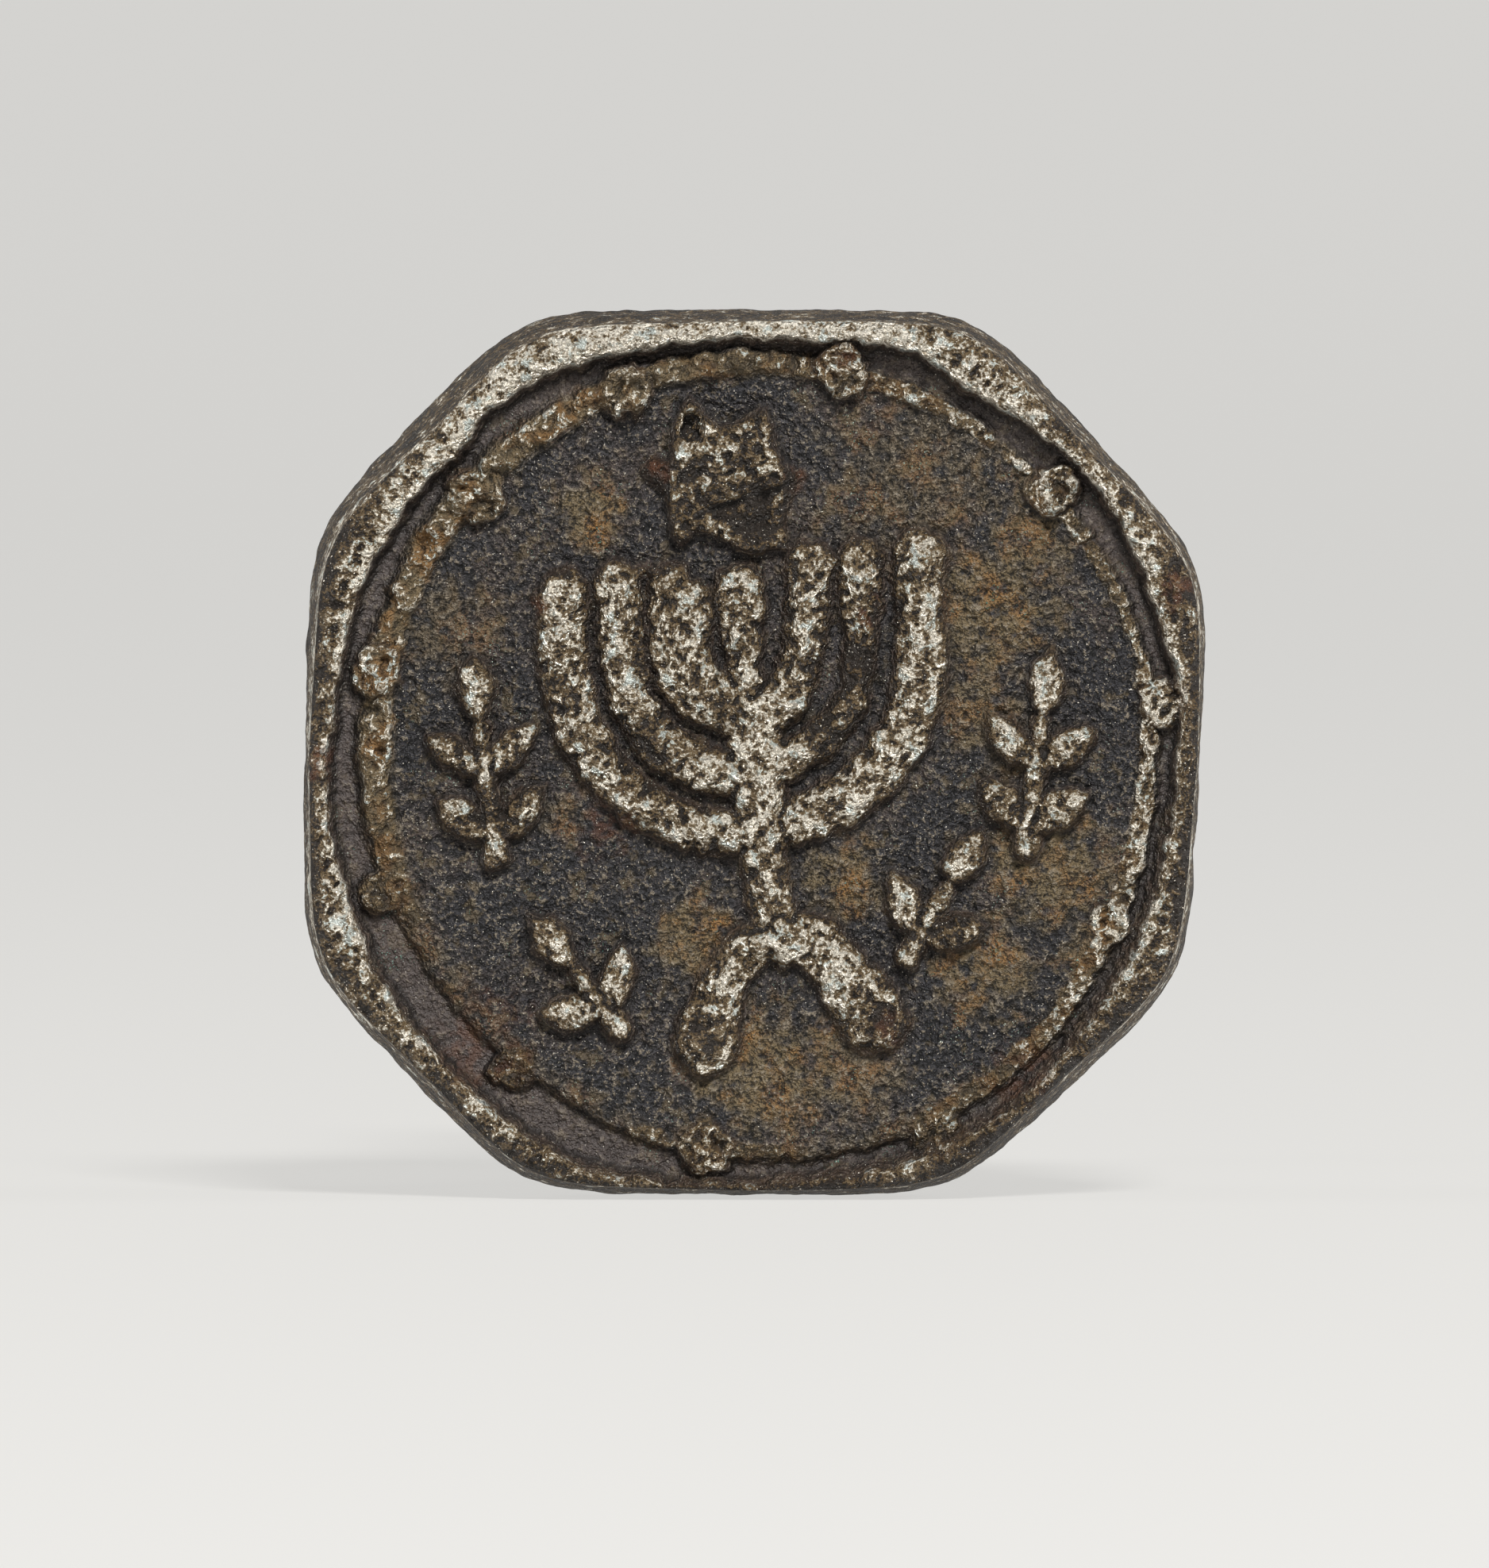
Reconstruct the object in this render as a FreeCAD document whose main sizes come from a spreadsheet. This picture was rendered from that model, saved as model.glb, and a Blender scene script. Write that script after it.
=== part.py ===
"""A seal ring of cast copper alloy, standing on its edge with the seal upright.

The origin is the middle of the finger hole. X runs along the finger, the seal
faces -Y and +Z is up. Lengths are in millimetres and angles in degrees.

The ring is made as such rings were: an eight-sided seal cast with its picture
in relief, a forged hoop whose splayed shoulders carry it, hard solder run
round the joint, and solder in the seam where the hoop's ends meet.
"""

import FreeCAD, Part
import math
import os
import Sketcher

# Driving sizes: the name, the value and what it measures
HOOP_SIZES = (
    ("bore_diameter", 17.2, "finger hole"),
    ("bore_easing", 0.3, "bevel along both edges of the finger hole"),
    ("hoop_thickness", 1.3, "metal of the hoop, away from the seal"),
    ("hoop_back_width", 4.6, "hoop along the finger, at the back"),
    ("hoop_shoulder_width", 9.6, "hoop along the finger, where it meets the seal"),
    ("hoop_bevel", 0.6, "bevel along the hoop's outer edges"),
    ("shoulder_start", 0.6, "how far behind the bore's middle the shoulders begin to widen"),
    ("table_thickness", 1.1, "metal between the finger hole and the seal"),
    ("table_height", 15.4, "flat land of the hoop under the seal, from top to bottom"),
    ("seam_gap", 0.3, "gap between the hoop's two ends, under the seal"),
    ("seam_recess", 0.05, "how far the solder in the seam stops short of the finger hole"),
    ("solder_leg", 0.6, "leg of the solder fillet, along the seal and up the hoop"),
)
PLATE_SIZES = (
    ("bezel_width", 20.5, "seal from left to right"),
    ("bezel_overlap", 0.15, "seal beyond the hoop, at the bottom and at the top"),
    ("bezel_thickness", 2.5, "seal from its back to the floor of its face"),
    ("bezel_draft_angle", 2.5, "how much the seal's sides close in towards the face"),
    ("corner_rounding", 3.4, "rounding of the eight corners of the outline"),
    ("arris_rounding", 0.36, "rounding between the rim and the sides"),
    ("back_bevel", 0.3, "bevel along the seal's back edge"),
    ("rim_height", 0.7, "rim above the floor of the face"),
    ("rim_draft_angle", 14, "slope of the rim's inner wall"),
    ("rim_width", 0.75, "rim at its foot, where the seal's top comes nearest to the floor"),
    ("border_inset", 0.65, "middle of the beaded border line from the foot of the rim"),
    ("border_width", 0.62, "border line, across its foot"),
    ("border_crest", 0.26, "border line, across its top"),
    ("border_height", 0.34, "border line above the floor"),
    ("bead_diameter", 1.16, "bead on the border line, at its foot"),
    ("bead_crest", 0.6, "bead, across its top"),
    ("bead_height", 0.5, "bead above the floor"),
    ("first_bead_angle", 13.6, "first bead from the top, clockwise as the seal is seen"),
    ("field_height", 0.1, "picture field above the floor"),
)
PICTURE_SIZES = (
    ("relief_height", 0.45, "picture above its field"),
    ("relief_draft_angle", 18, "slope of the picture's side walls"),
    ("lamp_lean_angle", 5.8, "how far the lamp leans to the left"),
    ("branch_width", 0.95, "stroke of a branch"),
    ("outer_branch_radius", 4.12, "outer pair of branches, to the middle of the stroke"),
    ("middle_branch_radius", 2.76, "middle pair of branches"),
    ("inner_branch_radius", 1.56, "inner pair of branches"),
    ("branch_centre", 2.3, "centre of the branches' curve, above the seal's centre"),
    ("branch_tip", 4.05, "centre of each branch's round tip, above the seal's centre"),
    ("stem_tip", 3.75, "centre of the stem's round tip, above the seal's centre"),
    ("stem_foot", 4.1, "centre of the stem's round foot, below the seal's centre"),
    ("stem_width", 0.85, "stroke of the stem"),
    ("leg_width", 0.9, "stroke of the arched legs"),
    ("leg_radius", 1.9, "arch of the legs, to the middle of the stroke"),
    ("leg_centre", 6.1, "centre of the legs' arch, below the seal's centre"),
    ("leg_tip", 6.35, "centre of each foot's round tip, below the seal's centre"),
    ("star_radius", 1.82, "star, out to its points"),
    ("star_waist", 1.3, "star, out to the notches between its points"),
    ("star_rise", 6.25, "star's centre above the seal's centre"),
    ("star_shift", 0.7, "star's centre to the left of the seal's centre"),
    ("rib_width", 0.46, "sprig's rib across its foot, twice its width at the top"),
    ("leaf_width", 0.66, "leaf at its widest"),
    ("leaf_length", 1.45, "leaf from its foot to its point"),
    ("leaf_start", 0.12, "foot of a leaf from the middle of its rib"),
    ("leaf_height", 0.35, "leaf above the field, a little lower than its rib"),
)

# Corners of the outline, as shares of half the seal's width and height, clockwise from the top right
CORNER_SHARES = (
    (0.497, 0.99),
    (1.0, 0.425),
    (0.963, -0.515),
    (0.445, -1.0),
    (-0.527, -0.995),
    (-1.0, -0.482),
    (-0.987, 0.494),
    (-0.507, 1.0),
)

BEAD_COUNT = 11
STAR_POINT_COUNT = 6
STAR_ANGLE = -1.0

# Four leafy sprigs: the middle and the length of each rib as shares of the border's radius, how far the
# sprig leans to the right, and its pairs of leaves
SPRIG_SHARES = (
    ((-0.691, -0.096), 0.34, -7.0, 2),
    ((0.730, -0.076), 0.33, 7.0, 2),
    ((-0.406, -0.637), 0.19, -38.0, 1),
    ((0.451, -0.437), 0.19, 30.0, 1),
)
LEAF_ANGLE = 50.0
LOWEST_PAIR_SHARE = 0.25

doc = FreeCAD.newDocument("seal_ring")
sheet = doc.addObject("Spreadsheet::Sheet", "Sizes")
for row, (alias, size, words) in enumerate(HOOP_SIZES + PLATE_SIZES + PICTURE_SIZES, start=1):
    sheet.set(f"A{row}", alias)
    sheet.set(f"B{row}", str(size))
    sheet.setAlias(f"B{row}", alias)
    sheet.set(f"C{row}", words)
doc.recompute()

# Places that follow from the sizes, written as the sheet's own expressions
BORE_RADIUS = "(Sizes.bore_diameter / 2)"
HOOP_RADIUS = f"({BORE_RADIUS} + Sizes.hoop_thickness)"
SEAT = f"({BORE_RADIUS} + Sizes.table_thickness)"
FLOOR = f"({SEAT} + Sizes.bezel_thickness)"
FIELD = f"({FLOOR} + Sizes.field_height)"
RIM_TOP = f"({FLOOR} + Sizes.rim_height)"
HALF_WIDTH = "(Sizes.bezel_width / 2)"
HALF_HEIGHT = f"({HOOP_RADIUS} + Sizes.bezel_overlap)"
FLOOR_RADIUS = f"({HALF_HEIGHT} - Sizes.rim_width)"
BORDER_RADIUS = f"({FLOOR_RADIUS} - Sizes.border_inset)"

# How a sketch numbers its own axes, and the ends and the centre of a piece of its geometry
X_LINE, Y_LINE = range(-1, -3, -1)
START, END, CENTRE = range(1, 4)
NORMAL = FreeCAD.Vector(0, 0, 1)


def value_of(expression):
    """The number that an expression on the sheet gives now."""
    return float(sheet.evalExpression(expression))


def spot(x, y):
    return FreeCAD.Vector(x, y, 0)


def middle_of(edge):
    return edge.valueAt((edge.FirstParameter + edge.LastParameter) / 2)


def agree(a, b):
    return math.isclose(a, b, abs_tol=Part.Precision.approximation())


def from_axis(point):
    """How far a point is from the middle line of the finger hole."""
    return math.hypot(point.y, point.z)


def lies_at(edge, measure, wanted):
    """True where the ends and the middle of an edge all have the wanted measure."""
    points = [vertex.Point for vertex in edge.Vertexes] + [middle_of(edge)]
    return all(agree(measure(point), wanted) for point in points)


# Bodies, sketches and features


def new_body(label):
    body = doc.addObject("PartDesign::Body", label)
    body.Label = label
    return body


def origin_part(body, role):
    return next(feature for feature in body.Origin.OriginFeatures if feature.Role == role)


def new_sketch(body, name, role, offset=None, turn=None, turn_axis=NORMAL):
    """A sketch on one of the body's own planes, moved along its normal and turned about an own axis."""
    sketch = body.newObject("Sketcher::SketchObject", name)
    sketch.AttachmentSupport = [(origin_part(body, role), "")]
    sketch.MapMode = "FlatFace"
    if turn:
        turned = FreeCAD.Rotation(turn_axis, value_of(turn))
        sketch.AttachmentOffset = FreeCAD.Placement(FreeCAD.Vector(), turned)
        sketch.setExpression("AttachmentOffset.Rotation.Angle", turn)
    if offset:
        sketch.setExpression("AttachmentOffset.Base.z", offset)
    return sketch


def hold(sketch, kind, *where, size=None):
    """Adds a constraint, tied to an expression on the sheet where it has a size."""
    if size is None:
        sketch.addConstraint(Sketcher.Constraint(kind, *where))
        return
    index = sketch.addConstraint(Sketcher.Constraint(kind, *where, value_of(size)))
    sketch.setExpression(f"Constraints[{index}]", size)


def place(sketch, geometry, point, x, y):
    """Holds a point of some geometry at two expressions from the sketch's origin. None is on the axis."""
    for kind, size, axis in (("DistanceX", x, Y_LINE), ("DistanceY", y, X_LINE)):
        if size is None:
            hold(sketch, "PointOnObject", geometry, point, axis)
        else:
            hold(sketch, kind, X_LINE, START, geometry, point, size=size)


def point_at(x, y):
    return spot(value_of(x) if x else 0, value_of(y) if y else 0)


def add_line(sketch, start, end):
    return sketch.addGeometry(Part.LineSegment(start, end))


def add_arc(sketch, centre, radius, start_angle, end_angle):
    """An arc that runs anticlockwise from one angle to the other."""
    circle = Part.Circle(centre, NORMAL, radius)
    ends = math.radians(start_angle), math.radians(end_angle)
    return sketch.addGeometry(Part.ArcOfCircle(circle, *ends))


def add_circle(sketch, radius):
    circle = sketch.addGeometry(Part.Circle(FreeCAD.Vector(), NORMAL, value_of(radius)))
    hold(sketch, "Coincident", circle, CENTRE, X_LINE, START)
    hold(sketch, "Radius", circle, size=radius)


def add_polygon(sketch, corners):
    """A closed outline of straight sides, whose corners are pairs of expressions."""
    spots = [point_at(*corner) for corner in corners]
    sides = [add_line(sketch, spots[i - 1], spots[i]) for i in range(len(spots))]
    for i, corner in enumerate(corners):
        hold(sketch, "Coincident", sides[i - 1], END, sides[i], START)
        place(sketch, sides[i], END, *corner)


def pad(body, name, sketch, length, draft=None, both_ways=False, backwards=False):
    """Pads a sketch along its normal, against it or to both sides, closing in by the draft."""
    padded = body.newObject("PartDesign::Pad", name)
    padded.Profile = sketch
    padded.Reversed = backwards
    padded.setExpression("Length", length)
    if both_ways:
        padded.SideType = "Symmetric"
    if draft:
        padded.setExpression("TaperAngle", f"-{draft}")
    doc.recompute()
    return padded


def cut_through(body, name, sketch):
    """Cuts a sketch out of the whole body, to both sides of its plane."""
    pocket = body.newObject("PartDesign::Pocket", name)
    pocket.Profile = sketch
    pocket.SideType = "Symmetric"
    pocket.Type = "ThroughAll"
    doc.recompute()
    return pocket


def turn_about(body, kind, name, sketch, axis):
    """Adds or cuts a sketch turned once about an axis."""
    turned = body.newObject(f"PartDesign::{kind}", name)
    turned.Profile = sketch
    turned.ReferenceAxis = axis
    doc.recompute()
    return turned


def work_edges(body, kind, name, feature, chosen, size):
    """Rounds or bevels those edges of a feature that the test picks."""
    names = [f"Edge{i}" for i, edge in enumerate(feature.Shape.Edges, start=1) if chosen(edge)]
    worked = body.newObject(f"PartDesign::{kind}", name)
    worked.Base = (feature, names)
    worked.setExpression("Radius" if kind == "Fillet" else "Size", size)
    doc.recompute()
    return worked


# The hoop


def add_hoop_outline(body):
    """The hoop from its side: round at the back, then straight to both ends of the flat under the seal."""
    sketch = new_sketch(body, "hoop_outline", "YZ_Plane")
    table_end = "(Sizes.table_height / 2)"
    radius, seat, end = value_of(HOOP_RADIUS), value_of(SEAT), value_of(table_end)
    turn = math.atan2(end, -seat) - math.acos(radius / math.hypot(seat, end))
    touch = spot(math.cos(turn), math.sin(turn)) * radius
    back = add_arc(sketch, FreeCAD.Vector(), radius, -math.degrees(turn), math.degrees(turn))
    upper = add_line(sketch, touch, spot(-seat, end))
    table = add_line(sketch, spot(-seat, end), spot(-seat, -end))
    lower = add_line(sketch, spot(-seat, -end), spot(touch.x, -touch.y))
    hold(sketch, "Coincident", back, CENTRE, X_LINE, START)
    hold(sketch, "Radius", back, size=HOOP_RADIUS)
    hold(sketch, "Tangent", back, END, upper, START)
    hold(sketch, "Coincident", upper, END, table, START)
    hold(sketch, "Coincident", table, END, lower, START)
    hold(sketch, "Tangent", lower, END, back, START)
    place(sketch, table, START, f"-{SEAT}", table_end)
    place(sketch, table, END, f"-{SEAT}", f"-{table_end}")
    return sketch


def trim_shoulders(body):
    """Cuts both sides to the hoop's plan: straight at the back, then widening in a hollow curve."""
    narrow, wide = "(Sizes.hoop_back_width / 2)", "(Sizes.hoop_shoulder_width / 2)"
    widening = f"({wide} - {narrow})"
    run = f"({SEAT} + Sizes.shoulder_start)"
    curve_radius = f"(({widening} ^ 2 + {run} ^ 2) / (2 * {widening}))"
    clear = f"({wide} + Sizes.hoop_thickness)"
    behind = f"({HOOP_RADIUS} + Sizes.hoop_thickness)"
    sweep = math.degrees(math.asin(value_of(run) / value_of(curve_radius)))
    sketch = new_sketch(body, "hoop_plan", "XY_Plane")
    for side, sign in ((-1, "-"), (1, "")):
        inner, foot, far = f"{sign}{narrow}", f"{sign}{wide}", f"{sign}{clear}"
        hub = side * value_of(f"{narrow} + {curve_radius}")
        turns = (180, 180 + sweep) if side > 0 else (360 - sweep, 360)
        rear, front = (START, END) if side > 0 else (END, START)
        centre = spot(hub, value_of("Sizes.shoulder_start"))
        curve = add_arc(sketch, centre, value_of(curve_radius), *turns)
        straight = add_line(sketch, point_at(inner, "Sizes.shoulder_start"), point_at(inner, behind))
        back = add_line(sketch, point_at(inner, behind), point_at(far, behind))
        outside = add_line(sketch, point_at(far, behind), point_at(far, f"-{SEAT}"))
        seat = add_line(sketch, point_at(far, f"-{SEAT}"), point_at(foot, f"-{SEAT}"))
        hold(sketch, "Tangent", curve, rear, straight, START)
        hold(sketch, "Coincident", straight, END, back, START)
        hold(sketch, "Coincident", back, END, outside, START)
        hold(sketch, "Coincident", outside, END, seat, START)
        hold(sketch, "Coincident", seat, END, curve, front)
        hold(sketch, "Vertical", straight)
        hold(sketch, "DistanceY", X_LINE, START, straight, START, size="Sizes.shoulder_start")
        place(sketch, straight, END, inner, behind)
        place(sketch, outside, START, far, behind)
        place(sketch, seat, START, far, f"-{SEAT}")
        place(sketch, seat, END, foot, f"-{SEAT}")
    return cut_through(body, "shoulder_trim", sketch)


def add_seam_outline(body, near, far):
    """The seam from its side: a strip from one distance in front of the finger hole's middle to another."""
    sketch = new_sketch(body, "seam_outline", "YZ_Plane")
    half = "(Sizes.seam_gap / 2)"
    corners = [(near, half), (f"-{far}", half), (f"-{far}", f"-{half}"), (near, f"-{half}")]
    add_polygon(sketch, corners)
    return sketch


def make_hoop():
    """The forged hoop, whose two ends meet under the seal."""
    body = new_body("hoop")
    pad(body, "blank", add_hoop_outline(body), "Sizes.hoop_shoulder_width", both_ways=True)
    trimmed = trim_shoulders(body)
    seat, bore_radius = value_of(SEAT), value_of(BORE_RADIUS)

    def runs_round_outside(edge):
        middle = middle_of(edge)
        on_table = lies_at(edge, lambda point: -point.y, seat)
        return from_axis(middle) > bore_radius and not agree(middle.x, 0) and not on_table

    work_edges(body, "Chamfer", "outer_bevel", trimmed, runs_round_outside, "Sizes.hoop_bevel")
    bore_outline = new_sketch(body, "bore_outline", "YZ_Plane")
    add_circle(bore_outline, BORE_RADIUS)
    bored = cut_through(body, "finger_bore", bore_outline)

    def runs_round_bore(edge):
        return lies_at(edge, from_axis, bore_radius) and not agree(middle_of(edge).x, 0)

    work_edges(body, "Chamfer", "bore_easing", bored, runs_round_bore, "Sizes.bore_easing")
    cut_through(body, "seam", add_seam_outline(body, None, f"({SEAT} + Sizes.table_thickness)"))
    return body


def make_seam_solder():
    """The solder between the hoop's ends, trimmed and eased with the hoop."""
    body = new_body("seam_solder")
    start = f"({BORE_RADIUS} + Sizes.seam_recess)"
    outline = add_seam_outline(body, f"-{start}", SEAT)
    pad(body, "strip", outline, "Sizes.hoop_shoulder_width", both_ways=True)
    trimmed = trim_shoulders(body)
    inner_face = value_of(start)

    def runs_across_end(edge):
        return lies_at(edge, lambda point: -point.y, inner_face) and not agree(middle_of(edge).x, 0)

    work_edges(body, "Chamfer", "end_easing", trimmed, runs_across_end, "Sizes.bore_easing")
    return body


def make_bezel_solder(hoop, seam_solder):
    """The fillet of solder round the hoop's flat, on the back of the seal."""
    body = new_body("solder_bed")
    leg = "Sizes.solder_leg"
    half_width = f"(Sizes.hoop_shoulder_width / 2 + {leg})"
    half_height = f"(Sizes.table_height / 2 + {leg})"
    sketch = new_sketch(body, "bed_outline", "XZ_Plane", offset=SEAT)
    signs = ((1, 1), (-1, 1), (-1, -1), (1, -1))
    add_polygon(sketch, [(f"{i} * {half_width}", f"{j} * {half_height}") for i, j in signs])
    bed = pad(body, "bed", sketch, leg, backwards=True)
    depth, rear_face = value_of(leg), value_of(f"{SEAT} - {leg}")

    def runs_up_corner(edge):
        return agree(edge.Length, depth)

    def lies_in_rear(edge):
        return lies_at(edge, lambda point: -point.y, rear_face)

    cornered = work_edges(body, "Fillet", "bed_corners", bed, runs_up_corner, f"Sizes.hoop_bevel + {leg}")
    work_edges(body, "Chamfer", "bed_slope", cornered, lies_in_rear, f"{leg} - Sizes.seam_recess")
    joined = doc.addObject("Part::Fuse", "hoop_and_seam")
    joined.Base, joined.Tool = hoop, seam_solder
    solder = doc.addObject("Part::Cut", "bezel_solder")
    solder.Label = "bezel_solder"
    solder.Base, solder.Tool = body, joined
    doc.recompute()
    return solder


# The seal


def shape_blank(body):
    """The eight-sided blank, closing in towards its face, with every edge rounded."""
    sketch = new_sketch(body, "bezel_outline", "XZ_Plane", offset=SEAT)
    corners = [(f"{x} * {HALF_WIDTH}", f"{z} * {HALF_HEIGHT}") for x, z in CORNER_SHARES]
    add_polygon(sketch, corners)
    height = f"{RIM_TOP} - {SEAT}"
    blank = pad(body, "bezel_blank", sketch, height, draft="Sizes.bezel_draft_angle")
    back, front = value_of(SEAT), value_of(RIM_TOP)

    def lies_in_front(edge):
        return lies_at(edge, lambda point: -point.y, front)

    def lies_behind(edge):
        return lies_at(edge, lambda point: -point.y, back)

    def runs_up_corner(edge):
        return not lies_in_front(edge) and not lies_behind(edge)

    cornered = work_edges(body, "Fillet", "bezel_corners", blank, runs_up_corner, "Sizes.corner_rounding")
    eased = work_edges(body, "Fillet", "bezel_arris", cornered, lies_in_front, "Sizes.arris_rounding")
    work_edges(body, "Chamfer", "bezel_back", eased, lies_behind, "Sizes.back_bevel")


def sink_face(body):
    """Sinks the round floor inside the rim, whose wall leans outwards."""
    wall_lean = "tan(Sizes.rim_draft_angle * 1 deg)"
    sketch = new_sketch(body, "floor_outline", "YZ_Plane")
    clear = "(Sizes.rim_height + Sizes.arris_rounding)"
    mouth = f"({FLOOR_RADIUS} + {clear} * {wall_lean})"
    top = f"-({FLOOR} + {clear})"
    add_polygon(sketch, [(f"-{FLOOR}", None), (f"-{FLOOR}", FLOOR_RADIUS), (top, mouth), (top, None)])
    turn_about(body, "Groove", "face_floor", sketch, (origin_part(body, "Y_Axis"), [""]))


def raise_border(body):
    """The picture's field, the round line about it and the beads along the line."""
    field_outline = new_sketch(body, "field_outline", "XZ_Plane", offset=FLOOR)
    add_circle(field_outline, BORDER_RADIUS)
    pad(body, "field", field_outline, "Sizes.field_height")
    y_axis = origin_part(body, "Y_Axis")

    line_outline = new_sketch(body, "border_outline", "YZ_Plane")
    foot, crest = "Sizes.border_width / 2", "Sizes.border_crest / 2"
    top = f"-({FLOOR} + Sizes.border_height)"
    across = ((f"-{FLOOR}", f"-{foot}"), (top, f"-{crest}"), (top, f"+{crest}"), (f"-{FLOOR}", f"+{foot}"))
    add_polygon(line_outline, [(x, f"{BORDER_RADIUS} {y}") for x, y in across])
    turn_about(body, "Revolution", "border_line", line_outline, (y_axis, [""]))

    turn, sideways = "Sizes.first_bead_angle", FreeCAD.Vector(1, 0, 0)
    bead_outline = new_sketch(body, "bead_outline", "YZ_Plane", turn=turn, turn_axis=sideways)
    foot, crest = "Sizes.bead_diameter / 2", "Sizes.bead_crest / 2"
    top = f"-({FLOOR} + Sizes.bead_height)"
    across = ((f"-{FLOOR}", ""), (top, ""), (top, f"+ {crest}"), (f"-{FLOOR}", f"+ {foot}"))
    add_polygon(bead_outline, [(x, f"{BORDER_RADIUS} {y}") for x, y in across])
    middle = value_of(BORDER_RADIUS)
    axis = add_line(bead_outline, point_at(f"-{FLOOR}", BORDER_RADIUS), spot(0, middle))
    bead_outline.setConstruction(axis, True)
    place(bead_outline, axis, START, f"-{FLOOR}", BORDER_RADIUS)
    place(bead_outline, axis, END, None, BORDER_RADIUS)
    bead = turn_about(body, "Revolution", "bead", bead_outline, (bead_outline, ["Axis0"]))
    beads = body.newObject("PartDesign::PolarPattern", "beads")
    beads.Originals = [bead]
    beads.Axis = (y_axis, [""])
    beads.Angle = 360
    beads.Occurrences = BEAD_COUNT
    body.Tip = beads
    doc.recompute()


# The picture in relief


def add_arch(sketch, radius, width, centre, tip):
    """A half ring that opens upwards, with an upright on each side and round tips."""
    middle, top = value_of(centre), value_of(tip)
    outside, inside = value_of(f"{radius} + {width} / 2"), value_of(f"{radius} - {width} / 2")
    half_stroke = value_of(f"{width} / 2")
    outer = add_arc(sketch, spot(0, middle), outside, 180, 360)
    inner = add_arc(sketch, spot(0, middle), inside, 180, 360)
    hold(sketch, "Coincident", outer, CENTRE, inner, CENTRE)
    place(sketch, outer, CENTRE, None, centre)
    hold(sketch, "Radius", outer, size=f"{radius} + {width} / 2")
    hold(sketch, "Radius", inner, size=f"{radius} - {width} / 2")
    for side, arc_end, far_end, near_end in ((-1, START, END, START), (1, END, START, END)):
        far = add_line(sketch, spot(side * outside, middle), spot(side * outside, top))
        near = add_line(sketch, spot(side * inside, middle), spot(side * inside, top))
        cap = add_arc(sketch, spot(side * (inside + half_stroke), top), half_stroke, 0, 180)
        hold(sketch, "Tangent", outer, arc_end, far, START)
        hold(sketch, "Tangent", inner, arc_end, near, START)
        hold(sketch, "Vertical", far)
        hold(sketch, "Vertical", near)
        hold(sketch, "Tangent", cap, far_end, far, END)
        hold(sketch, "Tangent", cap, near_end, near, END)
        hold(sketch, "DistanceY", X_LINE, START, cap, CENTRE, size=tip)


def add_stroke(sketch, start, end, width):
    """A straight stroke with round ends, whose ends are centred on two pairs of expressions."""
    first, last = point_at(*start), point_at(*end)
    radius = value_of(f"{width} / 2")
    along = math.degrees(math.atan2(last.y - first.y, last.x - first.x))
    side = spot(first.y - last.y, last.x - first.x).normalize() * radius
    tail = add_arc(sketch, first, radius, along + 90, along + 270)
    head = add_arc(sketch, last, radius, along - 90, along + 90)
    left = add_line(sketch, first + side, last + side)
    right = add_line(sketch, last - side, first - side)
    hold(sketch, "Tangent", tail, START, left, START)
    hold(sketch, "Tangent", tail, END, right, END)
    hold(sketch, "Tangent", head, END, left, END)
    hold(sketch, "Tangent", head, START, right, START)
    hold(sketch, "Radius", tail, size=f"{width} / 2")
    place(sketch, tail, CENTRE, *start)
    place(sketch, head, CENTRE, *end)


def add_leaf(sketch, foot, point):
    """A leaf of two equal curves that meet at its foot and at its point."""
    radius = "((Sizes.leaf_length ^ 2 + Sizes.leaf_width ^ 2) / (4 * Sizes.leaf_width))"
    first, last, curve = point_at(*foot), point_at(*point), value_of(radius)
    half_turn = math.asin(value_of("Sizes.leaf_length / 2") / curve)
    along = math.degrees(math.atan2(last.y - first.y, last.x - first.x))
    sweep = math.degrees(half_turn)
    side = spot(first.y - last.y, last.x - first.x).normalize() * curve * math.cos(half_turn)
    middle = (first + last) / 2
    left = add_arc(sketch, middle - side, curve, along + 90 - sweep, along + 90 + sweep)
    right = add_arc(sketch, middle + side, curve, along - 90 - sweep, along - 90 + sweep)
    hold(sketch, "Coincident", left, END, right, START)
    hold(sketch, "Coincident", left, START, right, END)
    hold(sketch, "Equal", left, right)
    hold(sketch, "Radius", left, size=radius)
    place(sketch, right, START, *foot)
    place(sketch, right, END, *point)


def draw_on_field(body, name, outlines, turn=None):
    """A sketch on the field that holds some outlines."""
    sketch = new_sketch(body, f"{name}_outline", "XZ_Plane", offset=FIELD, turn=turn)
    for draw, *places in outlines:
        draw(sketch, *places)
    return sketch


def raise_relief(body, name, outlines, turn=None):
    """Raises outlines from the field as one part of the picture, with sloping sides."""
    sketch = draw_on_field(body, name, outlines, turn)
    pad(body, name, sketch, "Sizes.relief_height", draft="Sizes.relief_draft_angle")


def raise_lamp(body):
    """The lamp: three pairs of branches, one inside the other, a stem and an arched foot."""
    lean = "Sizes.lamp_lean_angle"
    for ring in ("outer", "middle", "inner"):
        across = (f"Sizes.{ring}_branch_radius", "Sizes.branch_width")
        upright = ("Sizes.branch_centre", "Sizes.branch_tip")
        raise_relief(body, f"{ring}_branches", [(add_arch, *across, *upright)], turn=lean)
    stem = ((None, "Sizes.stem_tip"), (None, "-Sizes.stem_foot"), "Sizes.stem_width")
    raise_relief(body, "stem", [(add_stroke, *stem)], turn=lean)
    legs = ("Sizes.leg_radius", "Sizes.leg_width", "Sizes.leg_centre", "Sizes.leg_tip")
    raise_relief(body, "legs", [(add_arch, *legs)], turn=f"{lean} + 180")


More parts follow.
